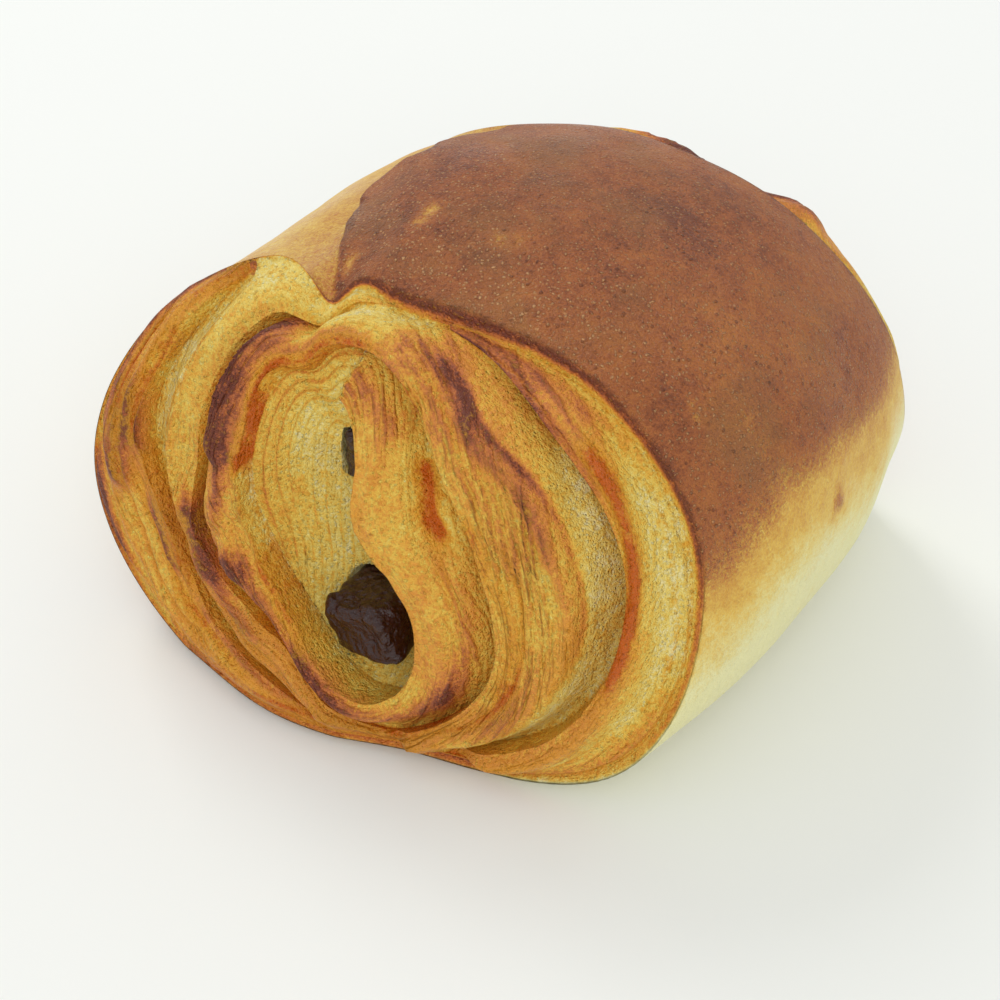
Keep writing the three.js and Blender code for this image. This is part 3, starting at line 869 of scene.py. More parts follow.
    def layer_grid(self) -> Patch:
        """Lay out the spiral's layers: rows along the spiral, columns from groove to groove.

        Returns:
            The layers.
        """
        hour = np.arange(self.columns_a_turn * TURNS + 1) * (HOURS_A_TURN / self.columns_a_turn)
        hour = hour[:, None]
        share = self.shares()[None, :]
        inner_radius, inner_depth = self.groove(hour)
        outer_radius, outer_depth = self.groove(hour + HOURS_A_TURN)
        width = outer_radius - inner_radius
        fullness = ease(width / SIZES.full_relief_width)
        brow = by_quarter(SIZES.brow_height, hour) * self.relief
        crest = by_quarter(SIZES.crest_height, hour) * self.relief
        place = by_quarter(SIZES.crest_place, hour)
        undercut = np.maximum(by_quarter(SIZES.undercut, hour), 0.0)
        wall = lerp(-inner_depth, brow, ease(share / SIZES.brow_place))
        rise = lerp(brow, crest, ease((share - SIZES.brow_place) / (place - SIZES.brow_place)))
        fall = lerp(crest, -outer_depth, ease((share - place) / (1.0 - place)))
        height = np.where(share < SIZES.brow_place, wall, np.where(share < place, rise, fall))
        breadth = np.maximum(width, SIZES.thinnest_layer)
        fine, bake, syrup, shown = self.relief_and_finish(hour, share, breadth)
        height = height + fine
        height = lerp(lerp(-inner_depth, -outer_depth, share), height, fullness)
        tuck = np.where(
            share < SIZES.brow_place, share / SIZES.brow_place, (1.0 - share) / (1.0 - SIZES.brow_place)
        )
        radius = inner_radius + width * share - fullness * undercut * tuck
        points = self.surface_point(hour, radius, height)
        turn = self.columns_a_turn
        points[:-turn, -1] = points[turn:, 0]
        for values in (bake, syrup, shown):
            values[:-turn, -1] = values[turn:, 0]
        along = np.cumsum(np.abs(inner_radius) * math.radians(360.0 / self.columns_a_turn), axis=0)
        layout = np.stack(np.broadcast_arrays(along, share * breadth), -1)
        return Patch(points, bake, syrup, np.zeros(bake.shape), shown, layout)

    def layer_bake(self, hour: np.ndarray, share: np.ndarray) -> np.ndarray:
        """Return how browned the layers are between their folds: brows most, valleys least.

        Args:
            hour: the hours.
            share: the places across the layer.

        Returns:
            The bake at each point.
        """
        brow = by_quarter(LAYER_BAKE.brow, hour)
        crest = by_quarter(LAYER_BAKE.crest, hour)
        valley = by_quarter(LAYER_BAKE.valley, hour)
        place = by_quarter(SIZES.crest_place, hour)
        rise = lerp(brow, crest, ease((share - 0.12) / np.maximum(place - 0.12, 0.05)))
        fall = lerp(crest, valley, ease((share - place) / (0.85 - place)))
        bake = np.where(share < place, rise, fall)
        wall = lerp(0.08, 0.32, ease((hour - 9.0) / 3.0)) - 0.18 * on_flap(hour)
        bake = lerp(wall, bake, ease(share / SIZES.brow_place))
        if self.facing is Facing.FAR:
            bake = bake + LAYER_BAKE.far_top * bump(hour % HOURS_A_TURN - 0.6, 0.9)
        return bake

    def bowl_grid(self, layers: Patch) -> Patch:
        """Lay out the bowl inside the first turn, on chords from the tongue's groove to the far side.

        Args:
            layers: the end's layers, which the bowl joins.

        Returns:
            The bowl.
        """
        bowl = BOWL_RELIEF
        half = self.columns_a_turn // 2
        rows = np.arange(1, half + 1)
        first = layers.points[rows, 0][:, None]
        second = layers.points[self.columns_a_turn - rows, 0][:, None]
        share = np.linspace(0.0, 1.0, len(layers.points[0]))[None, :, None]
        points = lerp(first, second, share)
        points[..., 1:2] = lerp(second[..., 1:2], first[..., 1:2], 1.0 - share**SIZES.bowl_curve)
        chord = np.linalg.norm(first - second, axis=-1)
        across = (1.0 - share[..., 0]) * chord
        place = np.stack(np.broadcast_arrays(rows[:, None] * 0.25, across, 0.0), -1)
        count = across / SIZES.bowl_leaf_spacing + bowl.wander.at(place, self.seed)
        saw = count - np.floor(count)
        strength = np.clip(bowl.middle_strength + bowl.strength.at(place, self.seed), 0.1, 1.2)
        steps = np.where(saw < bowl.rise, saw / bowl.rise, (1.0 - saw) / (1.0 - bowl.rise)) - 0.5
        steps = steps * strength * bowl.height + bowl.lumps.at(place, self.seed)
        inside = ease(share[..., 0] / 0.1) * ease((1.0 - share[..., 0]) / 0.06) * ease(chord / 4.0)
        points[..., 1] += self.facing.value * steps * inside
        points = np.concatenate([layers.points[0][None], points])
        share = np.broadcast_to(share[..., 0], points.shape[:2])
        edge = np.concatenate([np.zeros((1, share.shape[1])), bump(saw - 0.12, 0.12) * strength])
        bake = bowl.floor_bake + bowl.rim_bake * ease((share - 0.60) / 0.35) + bowl.edge_bake * edge
        syrup = np.zeros(bake.shape)
        shown = np.full(bake.shape, bowl.shown)
        for values, source in ((bake, layers.bake), (syrup, layers.syrup), (shown, layers.leaves)):
            values[:, 0] = source[:half + 1, 0]
            values[1:, -1] = source[self.columns_a_turn - rows, 0]
            values[0] = source[0, 0]
        row = np.broadcast_to(np.arange(half + 1)[:, None] * 0.4, share.shape)
        across = np.concatenate([np.zeros((1, share.shape[1])), across])
        layout = np.stack([row, across + BOWL_LAYOUT_START], -1)
        return Patch(points, bake, syrup, np.zeros(bake.shape), shown, layout)

    def lip_grid(self, layers: Patch, outside: Patch, column: int) -> Patch:
        """Lay out the strip from the outermost groove to the rim's lip.

        Args:
            layers: the end's layers.
            outside: the loaf's outside.
            column: the outside's column of points along this end's rim.

        Returns:
            The strip.
        """
        share = np.linspace(0.0, 1.0, 5)[None, :]
        start = layers.points[-self.columns_a_turn - 1:, -1]
        points = lerp(start[:, None], outside.points[:, column][:, None], share[..., None])
        hour = np.arange(self.columns_a_turn + 1)[:, None] * (HOURS_A_TURN / self.columns_a_turn)
        on_crust = np.maximum(ease((4.3 - hour) / 0.8), ease((hour - 11.0) / 0.25))
        near_bake = layers.bake[-self.columns_a_turn - 1:, -1][:, None]
        far_bake = outside.bake[:, column][:, None]
        bake = lerp(near_bake, far_bake, share) + 0.45 * on_crust * bump(share - 0.65, 0.3)
        skin = np.zeros(bake.shape)
        skin[:, -1] = 1.0
        syrup, shown = np.zeros(bake.shape), np.zeros(bake.shape)
        syrup[:, 0] = layers.syrup[-self.columns_a_turn - 1:, -1]
        shown[:, 0] = layers.leaves[-self.columns_a_turn - 1:, -1]
        layout = np.stack(np.broadcast_arrays(hour * 12.0, share * 1.5 + LIP_LAYOUT_START), -1)
        return Patch(points, np.clip(bake, 0.0, 1.0), syrup, skin, shown, layout)


@dataclass
class LoafSide:
    """The outside of the roll between its two rims, with the dark egg-washed crust on its crown.

    Attributes:
        near: the near end.
        far: the far end.
        columns: how many columns of points go round it.
        steps: how many steps lie between the rims.
        scuffs: the rubbed spots of its crust.
        step: the step at the crust's left edge.
        groove: the groove beside the left flap.
        swells: its soft dents and swellings, in millimetres.
        browning: how unevenly it is browned.
        scuff_edge: how ragged the rubbed spots are.
        crown_bake: how browned the crust is.
        left_bake: how browned the dough left of the crust is.
        sole_bake: how browned the right side is towards the sole.
    """

    near: RollEnd
    far: RollEnd
    columns: int
    steps: int
    scuffs: tuple = ()
    step: CrustStep = field(default_factory=CrustStep)
    groove: FlapGroove = field(default_factory=FlapGroove)
    swells: tuple = (Waver((17.0, 17.0, 17.0), 0.55, 41), Waver((6.0, 6.0, 6.0), 0.14, 42))
    browning: tuple = (Waver((15.0, 15.0, 15.0), 0.10, 31), Waver((4.0, 4.0, 4.0), 0.04, 32))
    scuff_edge: Waver = Waver((1.3, 1.3, 1.3), 0.9, 35)
    crown_bake: float = 0.86
    left_bake: float = 0.52
    sole_bake: float = 0.60

    def relief(self, hour: np.ndarray, along: np.ndarray) -> np.ndarray:
        """Return how far the side stands out of the plain loaf, in millimetres.

        Args:
            hour: the hours, from 0 to 12.
            along: the shares of the way from the near rim to the far one.

        Returns:
            The distances, below 0 where it stands in.
        """
        step = self.step
        past_edge = step.left_hour(along) - hour
        fade = 1.0 - ease((past_edge - step.blend) / step.fade_hours)
        drop = step.height * ease(past_edge / step.blend + 0.5) * fade * (hour > 6.0)
        flap = self.groove.depth * bump(hour - self.groove.hour, self.groove.hours)
        ends = np.sin(np.pi * np.clip(along, 0.0, 1.0)) ** 0.5
        return -drop * ends - flap * (1.0 - ease(along / self.groove.reach))

    def uneven(self, points: np.ndarray, along: np.ndarray) -> np.ndarray:
        """Return the soft dents and swellings of the baked outside, in millimetres, none at the rims."""
        swell = sum(waver.at(points) for waver in self.swells)
        return swell * ease(along / 0.12) * ease((1.0 - along) / 0.12)

    def grid(self) -> Patch:
        """Lay out the side: rows by the hour, columns from the near rim to the far one.

        Returns:
            The side.
        """
        hour = (np.arange(self.columns + 1) % self.columns * (HOURS_A_TURN / self.columns))[:, None]
        along = np.linspace(0.0, 1.0, self.steps + 1)[None, :]
        end_share = np.abs(2.0 * along - 1.0) ** SIZES.side_swell_power
        rim = np.where(along < 0.5, self.near.rim_radius(hour), self.far.rim_radius(hour))
        radius = lerp(section_radius(hour), rim, end_share) + self.relief(hour, along)
        y = lerp(self.near.rim_y(hour), self.far.rim_y(hour), along)
        points = point_at(hour, radius, y)
        points = point_at(hour, radius + self.uneven(points, along), y)
        bake = self.bake(hour, along, points)
        clock = np.arange(self.columns + 1)[:, None] * (HOURS_A_TURN / self.columns)
        across = along * OUTSIDE_LENGTH + OUTSIDE_LAYOUT_START
        layout = np.stack(np.broadcast_arrays(clock * OUTSIDE_HOUR_SPAN, across), -1)
        # Pale grains painted on the crust as glints and sheen; their strength rides in the syrup attribute.
        painted_glint_mask = self.painted_glints(hour, along, bake)
        return Patch(points, bake, painted_glint_mask, np.ones(bake.shape), np.zeros(bake.shape), layout)

    def painted_glints(self, hour: np.ndarray, along: np.ndarray, bake: np.ndarray) -> np.ndarray:
        """Return where pale grains are painted on the crust as glints and sheen: most beside the near lip,
        some on the left.

        Args:
            hour: the hours, from 0 to 12.
            along: the shares of the way from the near rim to the far one.
            bake: how browned the outside is.

        Returns:
            The strength of the painted glints, from 0 to 1.
        """
        clock = self.signed_hour(hour)
        # Painted highlights: glints beside the near lip and a fainter painted sheen on the crown's left.
        near_lip = bump(clock - 0.5, 1.5) * ease(along / 0.04) * (1.0 - ease((along - 0.12) / 0.30))
        left = 0.45 * bump(clock + 0.7, 0.8) * ease(along / 0.10) * ease((1.0 - along) / 0.10)
        return np.clip((near_lip + left) * ease((bake - 0.66) / 0.10), 0.0, 1.0)

    def signed_hour(self, hour: np.ndarray) -> np.ndarray:
        """Return the hour from -6 to 6, below 0 on the left."""
        return np.where(hour > 6.0, hour - HOURS_A_TURN, hour)

    def bake(self, hour: np.ndarray, along: np.ndarray, points: np.ndarray) -> np.ndarray:
        """Return how browned the outside is: the crown most, the low right side least.

        Args:
            hour: the hours, from 0 to 12.
            along: the shares of the way from the near rim to the far one.
            points: the points themselves, in millimetres.

        Returns:
            The bake, from 0 to 1.
        """
        wander = sum(waver.at(points) for waver in self.browning)
        clock = self.signed_hour(hour)
        right = clock - self.step.right_hour(along) + wander
        paling = ease((right + 0.30) / 0.34) * 0.44 + ease((right - 0.02) / 0.60) * 0.42
        sole = ease((clock - 4.3) / 0.5)
        right_side = lerp(self.crown_bake - paling, self.sole_bake, sole)
        past_left = self.step.left_hour(along) - HOURS_A_TURN - clock + wander * 0.3
        left_side = self.left_bake - 0.10 * ease((past_left - 0.3) / 0.9)
        left_side = left_side + 0.22 * ease((past_left - 1.8) / 1.6)
        on_left = ease(past_left / 0.07 + 0.5)
        bake = np.where(clock > 0.0, right_side, lerp(self.crown_bake, left_side, on_left))
        ragged = ease(0.7 + self.scuff_edge.at(points))
        for spot in self.scuffs:
            bake = bake - spot.paler * spot.mark(clock, along) * ragged
        dark_edge = 0.14 * bump(past_left + 0.04, 0.05) * (clock < 0.0)
        bake = bake + dark_edge
        return np.clip(bake + wander * 0.5, 0.0, 1.0)


def deselect_all() -> None:
    """Leave object mode's selection empty."""
    bpy.ops.object.select_all(action="DESELECT")


def select_only(*pieces: bpy.types.Object) -> None:
    """Select these pieces and nothing else, and make the first one active.

    Args:
        *pieces: the pieces.
    """
    deselect_all()
    for piece in pieces:
        piece.select_set(True)
    bpy.context.view_layer.objects.active = pieces[0]


def own_place(piece: bpy.types.Object) -> None:
    """Move a piece's place, turn and scale into its mesh."""
    select_only(piece)
    bpy.ops.object.transform_apply(location=True, rotation=True, scale=True)


def add_grid(name: str, patch: Patch, shift: Vector) -> bpy.types.Object:
    """Add a grid and put each of its points on the patch.

    Args:
        name: the object's name.
        patch: where the points go and what the finish reads there.
        shift: the frame's place of the roll's own origin, in metres.

    Returns:
        The new object.
    """
    rows, columns = patch.points.shape[:2]
    deselect_all()
    bpy.ops.mesh.primitive_grid_add(x_subdivisions=columns - 1, y_subdivisions=rows - 1, size=2 * MM)
    piece = bpy.context.object
    piece.name = name
    mesh = piece.data
    places = patch.points * MM + np.asarray(shift)
    mesh.vertices.foreach_set("co", places.ravel())
    for key in ("bake", "syrup", "skin", "leaves"):
        values = getattr(patch, key)
        attribute = mesh.attributes.new(key, "FLOAT", "POINT")
        attribute.data.foreach_set("value", np.ascontiguousarray(values, dtype=np.float32).ravel())
    corner = np.zeros(len(mesh.loops), np.int32)
    mesh.loops.foreach_get("vertex_index", corner)
    layout = patch.layers.reshape(-1, 2)[corner]
    mesh.uv_layers[0].name = "layers"
    mesh.uv_layers[0].data.foreach_set("uv", layout.ravel())
    return piece


@dataclass
class Baton:
    """A chocolate baton along Y, with the channel that it lies in, in millimetres.

    Attributes:
        name: the CAD node's name.
        x: the middle's place along X.
        z: the middle's place along Z.
        width: the baton's width.
        height: the baton's height.
        lean: how far it is turned about Y, in degrees.
        near: where its near end lies along Y.
        far: where its far end lies along Y.
        corner: the rounding of its edges.
        gap: the room that its channel leaves on every side.
        voxel: the size of the faces that it is melted in.
        lumps: the lumps that it has melted into.
        shrink: how much it has sunk in on the whole, beside the lumps.
        end_length: how far the strongest lumps reach from its near end.
        side_share: how much of the lumps the rest has.
    """

    name: str
    x: float
    z: float
    width: float
    height: float
    lean: float
    near: float
    far: float
    corner: float = 1.8
    gap: float = 0.35
    voxel: float = 0.45
    lumps: tuple = (Waver((3.6, 3.6, 3.6), 0.8, 71), Waver((1.4, 1.4, 1.4), 0.5, 72))
    shrink: float = 0.35
    end_length: float = 5.0
    side_share: float = 0.25

    def bar(self, name: str, clearance: float, shift: Vector) -> bpy.types.Object:
        """Add a bar with rounded edges.

        Args:
            name: the object's name.
            clearance: how much larger it is than the baton, on every side, in millimetres.
            shift: the frame's place of the roll's own origin, in metres.

        Returns:
            The new object.
        """
        deselect_all()
        middle = Vector((self.x, (self.near + self.far) / 2, self.z)) * MM + shift
        bpy.ops.mesh.primitive_cube_add(size=1.0, location=middle, rotation=(0, math.radians(self.lean), 0))
        piece = bpy.context.object
        piece.name = name
        length = self.far - self.near
        piece.scale = Vector((self.width, length, self.height)) * MM + Vector((2, 2, 2)) * clearance * MM
        own_place(piece)
        bevel = piece.modifiers.new("rounding", "BEVEL")
        bevel.width = (self.corner + clearance) * MM
        bevel.segments = 5
        bpy.ops.object.modifier_apply(modifier=bevel.name)
        return piece

    def build(self, shift: Vector) -> bpy.types.Object:
        """Add the baton, melted into soft lumps that are strongest at its near end.

        Args:
            shift: the frame's place of the roll's own origin, in metres.

        Returns:
            The new object.
        """
        piece = self.bar(f"{self.name}_melted", 0.0, shift)
        remesh = piece.modifiers.new("even_faces", "REMESH")
        remesh.mode = "VOXEL"
        remesh.voxel_size = self.voxel * MM
        bpy.ops.object.modifier_apply(modifier=remesh.name)
        mesh = piece.data
        places = np.zeros(len(mesh.vertices) * 3, np.float32)
        mesh.vertices.foreach_get("co", places)
        normals = np.zeros(len(mesh.vertices) * 3, np.float32)
        mesh.vertices.foreach_get("normal", normals)
        points = places.reshape(-1, 3) / MM
        lumps = sum(waver.at(points) for waver in self.lumps) - self.shrink
        at_end = bump((points[:, 1] - points[:, 1].min()) / self.end_length, 1.0)
        moved = points + normals.reshape(-1, 3) * (lumps * lerp(self.side_share, 1.0, at_end))[:, None]
        mesh.vertices.foreach_set("co", (moved * MM).astype(np.float32).ravel())
        bpy.ops.object.shade_smooth()
        return piece


def add_node(tree: Tree, kind: str, inputs: dict | tuple = (), **settings) -> bpy.types.Node:
    """Add a shader node with its settings, values and links.

    Args:
        tree: the material's node tree.
        kind: the node's type.
        inputs: for each input, by name or in order, a value or the output socket to link it to.
        **settings: the node's own properties.

    Returns:
        The new node.
    """
    node = tree.nodes.new(kind)
    for key, value in settings.items():
        setattr(node, key, value)
    named = inputs if isinstance(inputs, dict) else dict(enumerate(inputs))
    for key, source in named.items():
        if isinstance(source, Socket):
            tree.links.new(source, node.inputs[key])
        else:
            node.inputs[key].default_value = source
    return node


def weighted_sum(tree: Tree, parts: tuple, start: float = 0.0) -> Socket:
    """Sum up patterns.

    Args:
        tree: the material's node tree.
        parts: pairs of a pattern and its weight, which may be another pattern.
        start: the number or pattern that they are added to.

    Returns:
        The output socket of the sum.
    """
    total = start
    for pattern, weight in parts:
        total = add_node(tree, "ShaderNodeMath", (pattern, weight, total), **TIMES_PLUS).outputs[0]
    return total


def set_stops(node: bpy.types.Node, stops: tuple) -> None:
    """Give a colour ramp its stops, each a position and an sRGB code.

    Args:
        node: the colour ramp.
        stops: the pairs of a position and a code, in order.
    """
    ramp = node.color_ramp
    while len(ramp.elements) > 1:
        ramp.elements.remove(ramp.elements[-1])
    for index, (position, code) in enumerate(stops):
        element = ramp.elements[0] if index == 0 else ramp.elements.new(position)
        element.position = position
        element.color = linear_colour(code)


@dataclass(frozen=True)
class DoughFinish:
    """Baked laminated dough: satin brown egg-washed crust, and torn golden leaves at the ends.

    Attributes:
        name: the material's name.
        layer_stops: colours of the torn ends, from raw crumb to nearly burnt.
        skin_stops: colours of the smooth outside, from pale dough to dark crust.
        syrup: the colour of butter and sugar that have run and browned.
        butter: the golden glow round that.
        olive: the duller brown of the crust's patches.
        painted_glints: the pale colour of grains painted on the crust as glints and sheen.
        noises: each noise with the width of its blobs in millimetres and its detail. Real grit is finer than
            0.32 mm, and is drawn as coarse as it needs to show.
        noise_roughness: how strong the noises' finer detail is.
        stretched: the noises that run along the layers, with their scales along and across.
        leaf_width: the breadth of the finest leaves, in millimetres.
        bend_width: the width of the bends in the glint beads, pale grains painted in as glints, in
            millimetres.
        bend_reach: how far the glint beads are bent, in millimetres.
        dots: the glint beads and the pimples, each with its spacing in millimetres, the limits of its edge
            and those of how many show.
        relief_depth: the depth of the finest relief, in millimetres.
        relief_strength: how much of that relief shows.
        specular_level: the shader's specular level, a little below that of a shiny food.
    """

    name: str = "baked_laminated_dough"
    layer_stops: tuple = (
        (0.00, "#f4e6a6"), (0.14, "#f2d872"), (0.30, "#efc550"), (0.44, "#ecae40"),
        (0.58, "#e4943a"), (0.72, "#d27c3c"), (0.86, "#b06038"), (1.00, "#763c2c"),
    )
    skin_stops: tuple = (
        (0.04, "#eae4aa"), (0.20, "#e6d282"), (0.36, "#e0b854"), (0.50, "#d09a40"),
        (0.64, "#c4823a"), (0.76, "#bc7236"), (0.88, "#aa6032"), (1.00, "#804426"),
    )
    olive: str = "#96683a"
    # Colour of the pale grains painted on the crust as glints and sheen.
    painted_glints: str = "#e0a870"
    syrup: str = "#c85a0a"
    butter: str = "#e8a42a"
    noises: tuple = (
        ("blotches", 9.0, 4.0), ("mottle", 2.2, 4.0), ("crumb", 0.7, 3.0), ("grit", 0.32, 2.0),
        ("zones", 20.0, 3.0), ("patches", 16.0, 4.0),
    )
    noise_roughness: float = 0.6
    stretched: tuple = (("streaks", (0.16, 1.3, 1.0)), ("wander", (0.10, 0.45, 1.0)))
    leaf_width: float = 0.85
    bend_width: float = 0.8
    bend_reach: float = 0.7
    # The first dots are pale grains painted in as glints, and bumped too; the second are the crust's pimples.
    dots: tuple = (("glint_beads", 0.58, (0.10, 0.42), (0.05, 0.70)), ("pimples", 1.1, (0.10, 0.26), (0.25, 0.75)))
    relief_depth: float = 0.6
    relief_strength: float = 0.9
    specular_level: float = 0.34

    def patterns(self, tree: Tree) -> dict[str, Socket]:
        """Add the patterns that the finish is mixed from, and return each by its name.

        Args:
            tree: the material's node tree.

        Returns:
            Each pattern's output socket by the pattern's name.
        """
        place = add_node(tree, "ShaderNodeTexCoord").outputs["Object"]
        layout = add_node(tree, "ShaderNodeUVMap", uv_map="layers").outputs["UV"]
        seen = {}
        for key in ("bake", "syrup", "skin", "leaves"):
            seen[key] = add_node(tree, "ShaderNodeAttribute", attribute_name=key).outputs["Fac"]
        sources = [(key, place, PER_METRE / width, detail) for key, width, detail in self.noises]
        for key, stretch in self.stretched:
            drawn = add_node(tree, "ShaderNodeMapping", {"Vector": layout, "Scale": stretch})
            sources.append((key, drawn.outputs["Vector"], 1.0, 3.0))
        for key, vector, scale, detail in sources:
            seen[key] = add_node(tree, "ShaderNodeTexNoise", {
                "Vector": vector, "Scale": scale, "Detail": detail, "Roughness": self.noise_roughness,
            }).outputs["Fac"]
        bend = {"Vector": place, "Scale": PER_METRE / self.bend_width}
        bend = add_node(tree, "ShaderNodeTexNoise", bend).outputs["Color"]
        reach = (self.bend_reach * MM,) * 3
        bent = add_node(tree, "ShaderNodeVectorMath", (bend, reach, place), **TIMES_PLUS).outputs["Vector"]
        for (key, width, edge, chance), vector in zip(self.dots, (bent, place)):
            cells = add_node(tree, "ShaderNodeTexVoronoi", {"Vector": vector, "Scale": PER_METRE / width})
            drawn = add_node(tree, "ShaderNodeSeparateXYZ", (cells.outputs["Color"],)).outputs["X"]
            dot = (cells.outputs["Distance"], *edge, 1.0, 0.0)
            dot = add_node(tree, "ShaderNodeMapRange", dot, **SOFT_STEP).outputs["Result"]
            few = (drawn, *chance, 0.0, 1.0)
            few = add_node(tree, "ShaderNodeMapRange", few, **SOFT_STEP).outputs["Result"]
            seen[key] = weighted_sum(tree, ((dot, few),))
        seen["leaf"] = self.leaf_pattern(tree, layout, seen)
        rough = (seen["zones"], 0.38, 0.62, 0.1, 1.0)
        seen["rough"] = add_node(tree, "ShaderNodeMapRange", rough, **SOFT_STEP).outputs["Result"]
        crisp = (seen["bake"], 0.62, 0.80, 0.0, 1.0)
        crisp = add_node(tree, "ShaderNodeMapRange", crisp, **SOFT_STEP).outputs["Result"]
        on_crust = weighted_sum(tree, ((seen["rough"], crisp),))
        seen["pimples"] = weighted_sum(tree, ((seen["pimples"], on_crust),))
        return seen

    def leaf_pattern(self, tree: Tree, layout: Socket, seen: dict[str, Socket]) -> Socket:
        """Add the finest leaves, which wave across the layers.

        Args:
            tree: the material's node tree.
            layout: the distances along and across the layers.
            seen: the patterns so far.

        Returns:
            The leaves' height, from -0.5 to 0.5 where they show fully.
        """
        across = add_node(tree, "ShaderNodeSeparateXYZ", (layout,)).outputs["Y"]
        count = weighted_sum(tree, ((seen["wander"], 5.0), (across, 1.0 / self.leaf_width)))
        wave = add_node(tree, "ShaderNodeMath", (count, 0.5), operation="PINGPONG").outputs[0]
        wave = weighted_sum(tree, ((wave, 2.0),), -0.5)
        shows = (seen["streaks"], 0.30, 0.62, 0.15, 1.0)
        shows = add_node(tree, "ShaderNodeMapRange", shows, **SOFT_STEP).outputs["Result"]
        return weighted_sum(tree, ((weighted_sum(tree, ((wave, shows),)), seen["leaves"]),))

    def end_colour(self, tree: Tree, seen: dict[str, Socket]) -> Socket:
        """Add the colour of the torn ends, and add to the patterns how far butter and sugar have run.

        Args:
            tree: the material's node tree.
            seen: the patterns by their names.

        Returns:
            The colour's output socket.
        """
        # The glint beads lighten the layers in fine dots: painted sparkle.
        level = weighted_sum(tree, (
            (seen["streaks"], 0.12), (seen["blotches"], 0.24), (seen["mottle"], 0.40), (seen["crumb"], 0.55),
            (seen["grit"], 0.45), (seen["glint_beads"], -0.14), (seen["bake"], 1.0), (seen["leaf"], 0.18),
        ), -0.85)
        colour = add_node(tree, "ShaderNodeValToRGB", {"Fac": level})
        set_stops(colour, self.layer_stops)
        colour = colour.outputs["Color"]
        seen["run"] = weighted_sum(tree, (
            (seen["syrup"], 1.0), (seen["streaks"], 0.5), (seen["mottle"], 0.6), (seen["crumb"], 0.8),
            (seen["grit"], 0.5),
        ), -1.22)
        for code, limits in ((self.butter, (0.02, 0.45, 0.0, 0.75)), (self.syrup, (0.30, 1.00, 0.0, 0.95))):
            share = add_node(tree, "ShaderNodeMapRange", (seen["run"], *limits), **SOFT_STEP)
            mix = {"Factor": share.outputs["Result"], 6: colour, 7: linear_colour(code)}
            colour = add_node(tree, "ShaderNodeMix", mix, **COLOURS).outputs[2]
        return colour

    def crust_colour(self, tree: Tree, seen: dict[str, Socket]) -> Socket:
        """Add the colour of the smooth outside: its brown, the olive patches and pale grains painted in as
        glints and sheen.

        Args:
            tree: the material's node tree.
            seen: the patterns by their names.

        Returns:
            The colour's output socket.
        """
        steps = {}
        for key, source, limits in (
            ("not_crisp", "bake", (0.84, 0.72, 0.0, 0.7)), ("not_pale", "bake", (0.42, 0.58, 0.0, 1.0)),
            ("browned", "bake", (0.55, 0.80, 0.0, 0.45)), ("patchy", "patches", (0.46, 0.66, 0.0, 1.0)),
        ):
            step = add_node(tree, "ShaderNodeMapRange", (seen[source], *limits), **SOFT_STEP)
            steps[key] = step.outputs["Result"]
        half_baked = weighted_sum(tree, ((steps["not_crisp"], steps["not_pale"]),))
        speckle = weighted_sum(tree, ((seen["grit"], 0.6), (seen["crumb"], 0.6)), -0.60)
        tone = weighted_sum(tree, (
            (seen["bake"], 1.0), (seen["mottle"], 0.24), (seen["blotches"], 0.34), (seen["grit"], 0.30),
            (seen["crumb"], 0.22), (speckle, half_baked), (seen["pimples"], 0.07),
        ), -0.55)
        colour = add_node(tree, "ShaderNodeValToRGB", {"Fac": tone})
        set_stops(colour, self.skin_stops)
        colour = colour.outputs["Color"]
        olive = weighted_sum(tree, ((steps["patchy"], steps["browned"]),))
        # Pale grains painted on the browned crust as glints and sheen, strongest where the syrup attribute
        # holds them.
        glint_bead_share = weighted_sum(tree, ((steps["browned"], 1.40), (seen["syrup"], 0.70)))
        painted_glint_flecks = weighted_sum(tree, ((seen["glint_beads"], glint_bead_share),))
        for share, code in ((olive, self.olive), (painted_glint_flecks, self.painted_glints)):
            mix = {"Factor": share, 6: colour, 7: linear_colour(code)}
            colour = add_node(tree, "ShaderNodeMix", mix, **COLOURS).outputs[2]
        return colour

    def relief(self, tree: Tree, seen: dict[str, Socket]) -> Socket:
        """Add the relief that is too fine for the mesh, and return the normal that it gives.

        Args:
            tree: the material's node tree.
            seen: the patterns by their names.

        Returns:
            The normal's output socket.
        """
        steps = {}
        for key, limits in (("fine", (0.4, 0.8, 0.25, 1.0)), ("glint_bead_share", (0.5, 0.8, 0.0, 0.8))):
            step = add_node(tree, "ShaderNodeMapRange", (seen["bake"], *limits), **SOFT_STEP)
            steps[key] = step.outputs["Result"]
        torn = weighted_sum(tree, (
            (seen["grit"], 0.7), (seen["mottle"], 1.6), (seen["crumb"], 1.3), (seen["leaf"], 0.9),
            (seen["glint_beads"], 0.5),
        ))
        glints = weighted_sum(tree, ((seen["crumb"], 1.3), (seen["grit"], 1.3)))
        smooth = weighted_sum(tree, (
            (glints, steps["fine"]), (seen["mottle"], 0.8), (seen["glint_beads"], steps["glint_bead_share"]),
            (seen["pimples"], 1.2),
        ))
        height = add_node(tree, "ShaderNodeMix", {"Factor": seen["skin"], 2: torn, 3: smooth}, **NUMBERS)
        return add_node(tree, "ShaderNodeBump", {
            "Height": height.outputs[0], "Strength": self.relief_strength, "Distance": self.relief_depth * MM,
        }).outputs["Normal"]

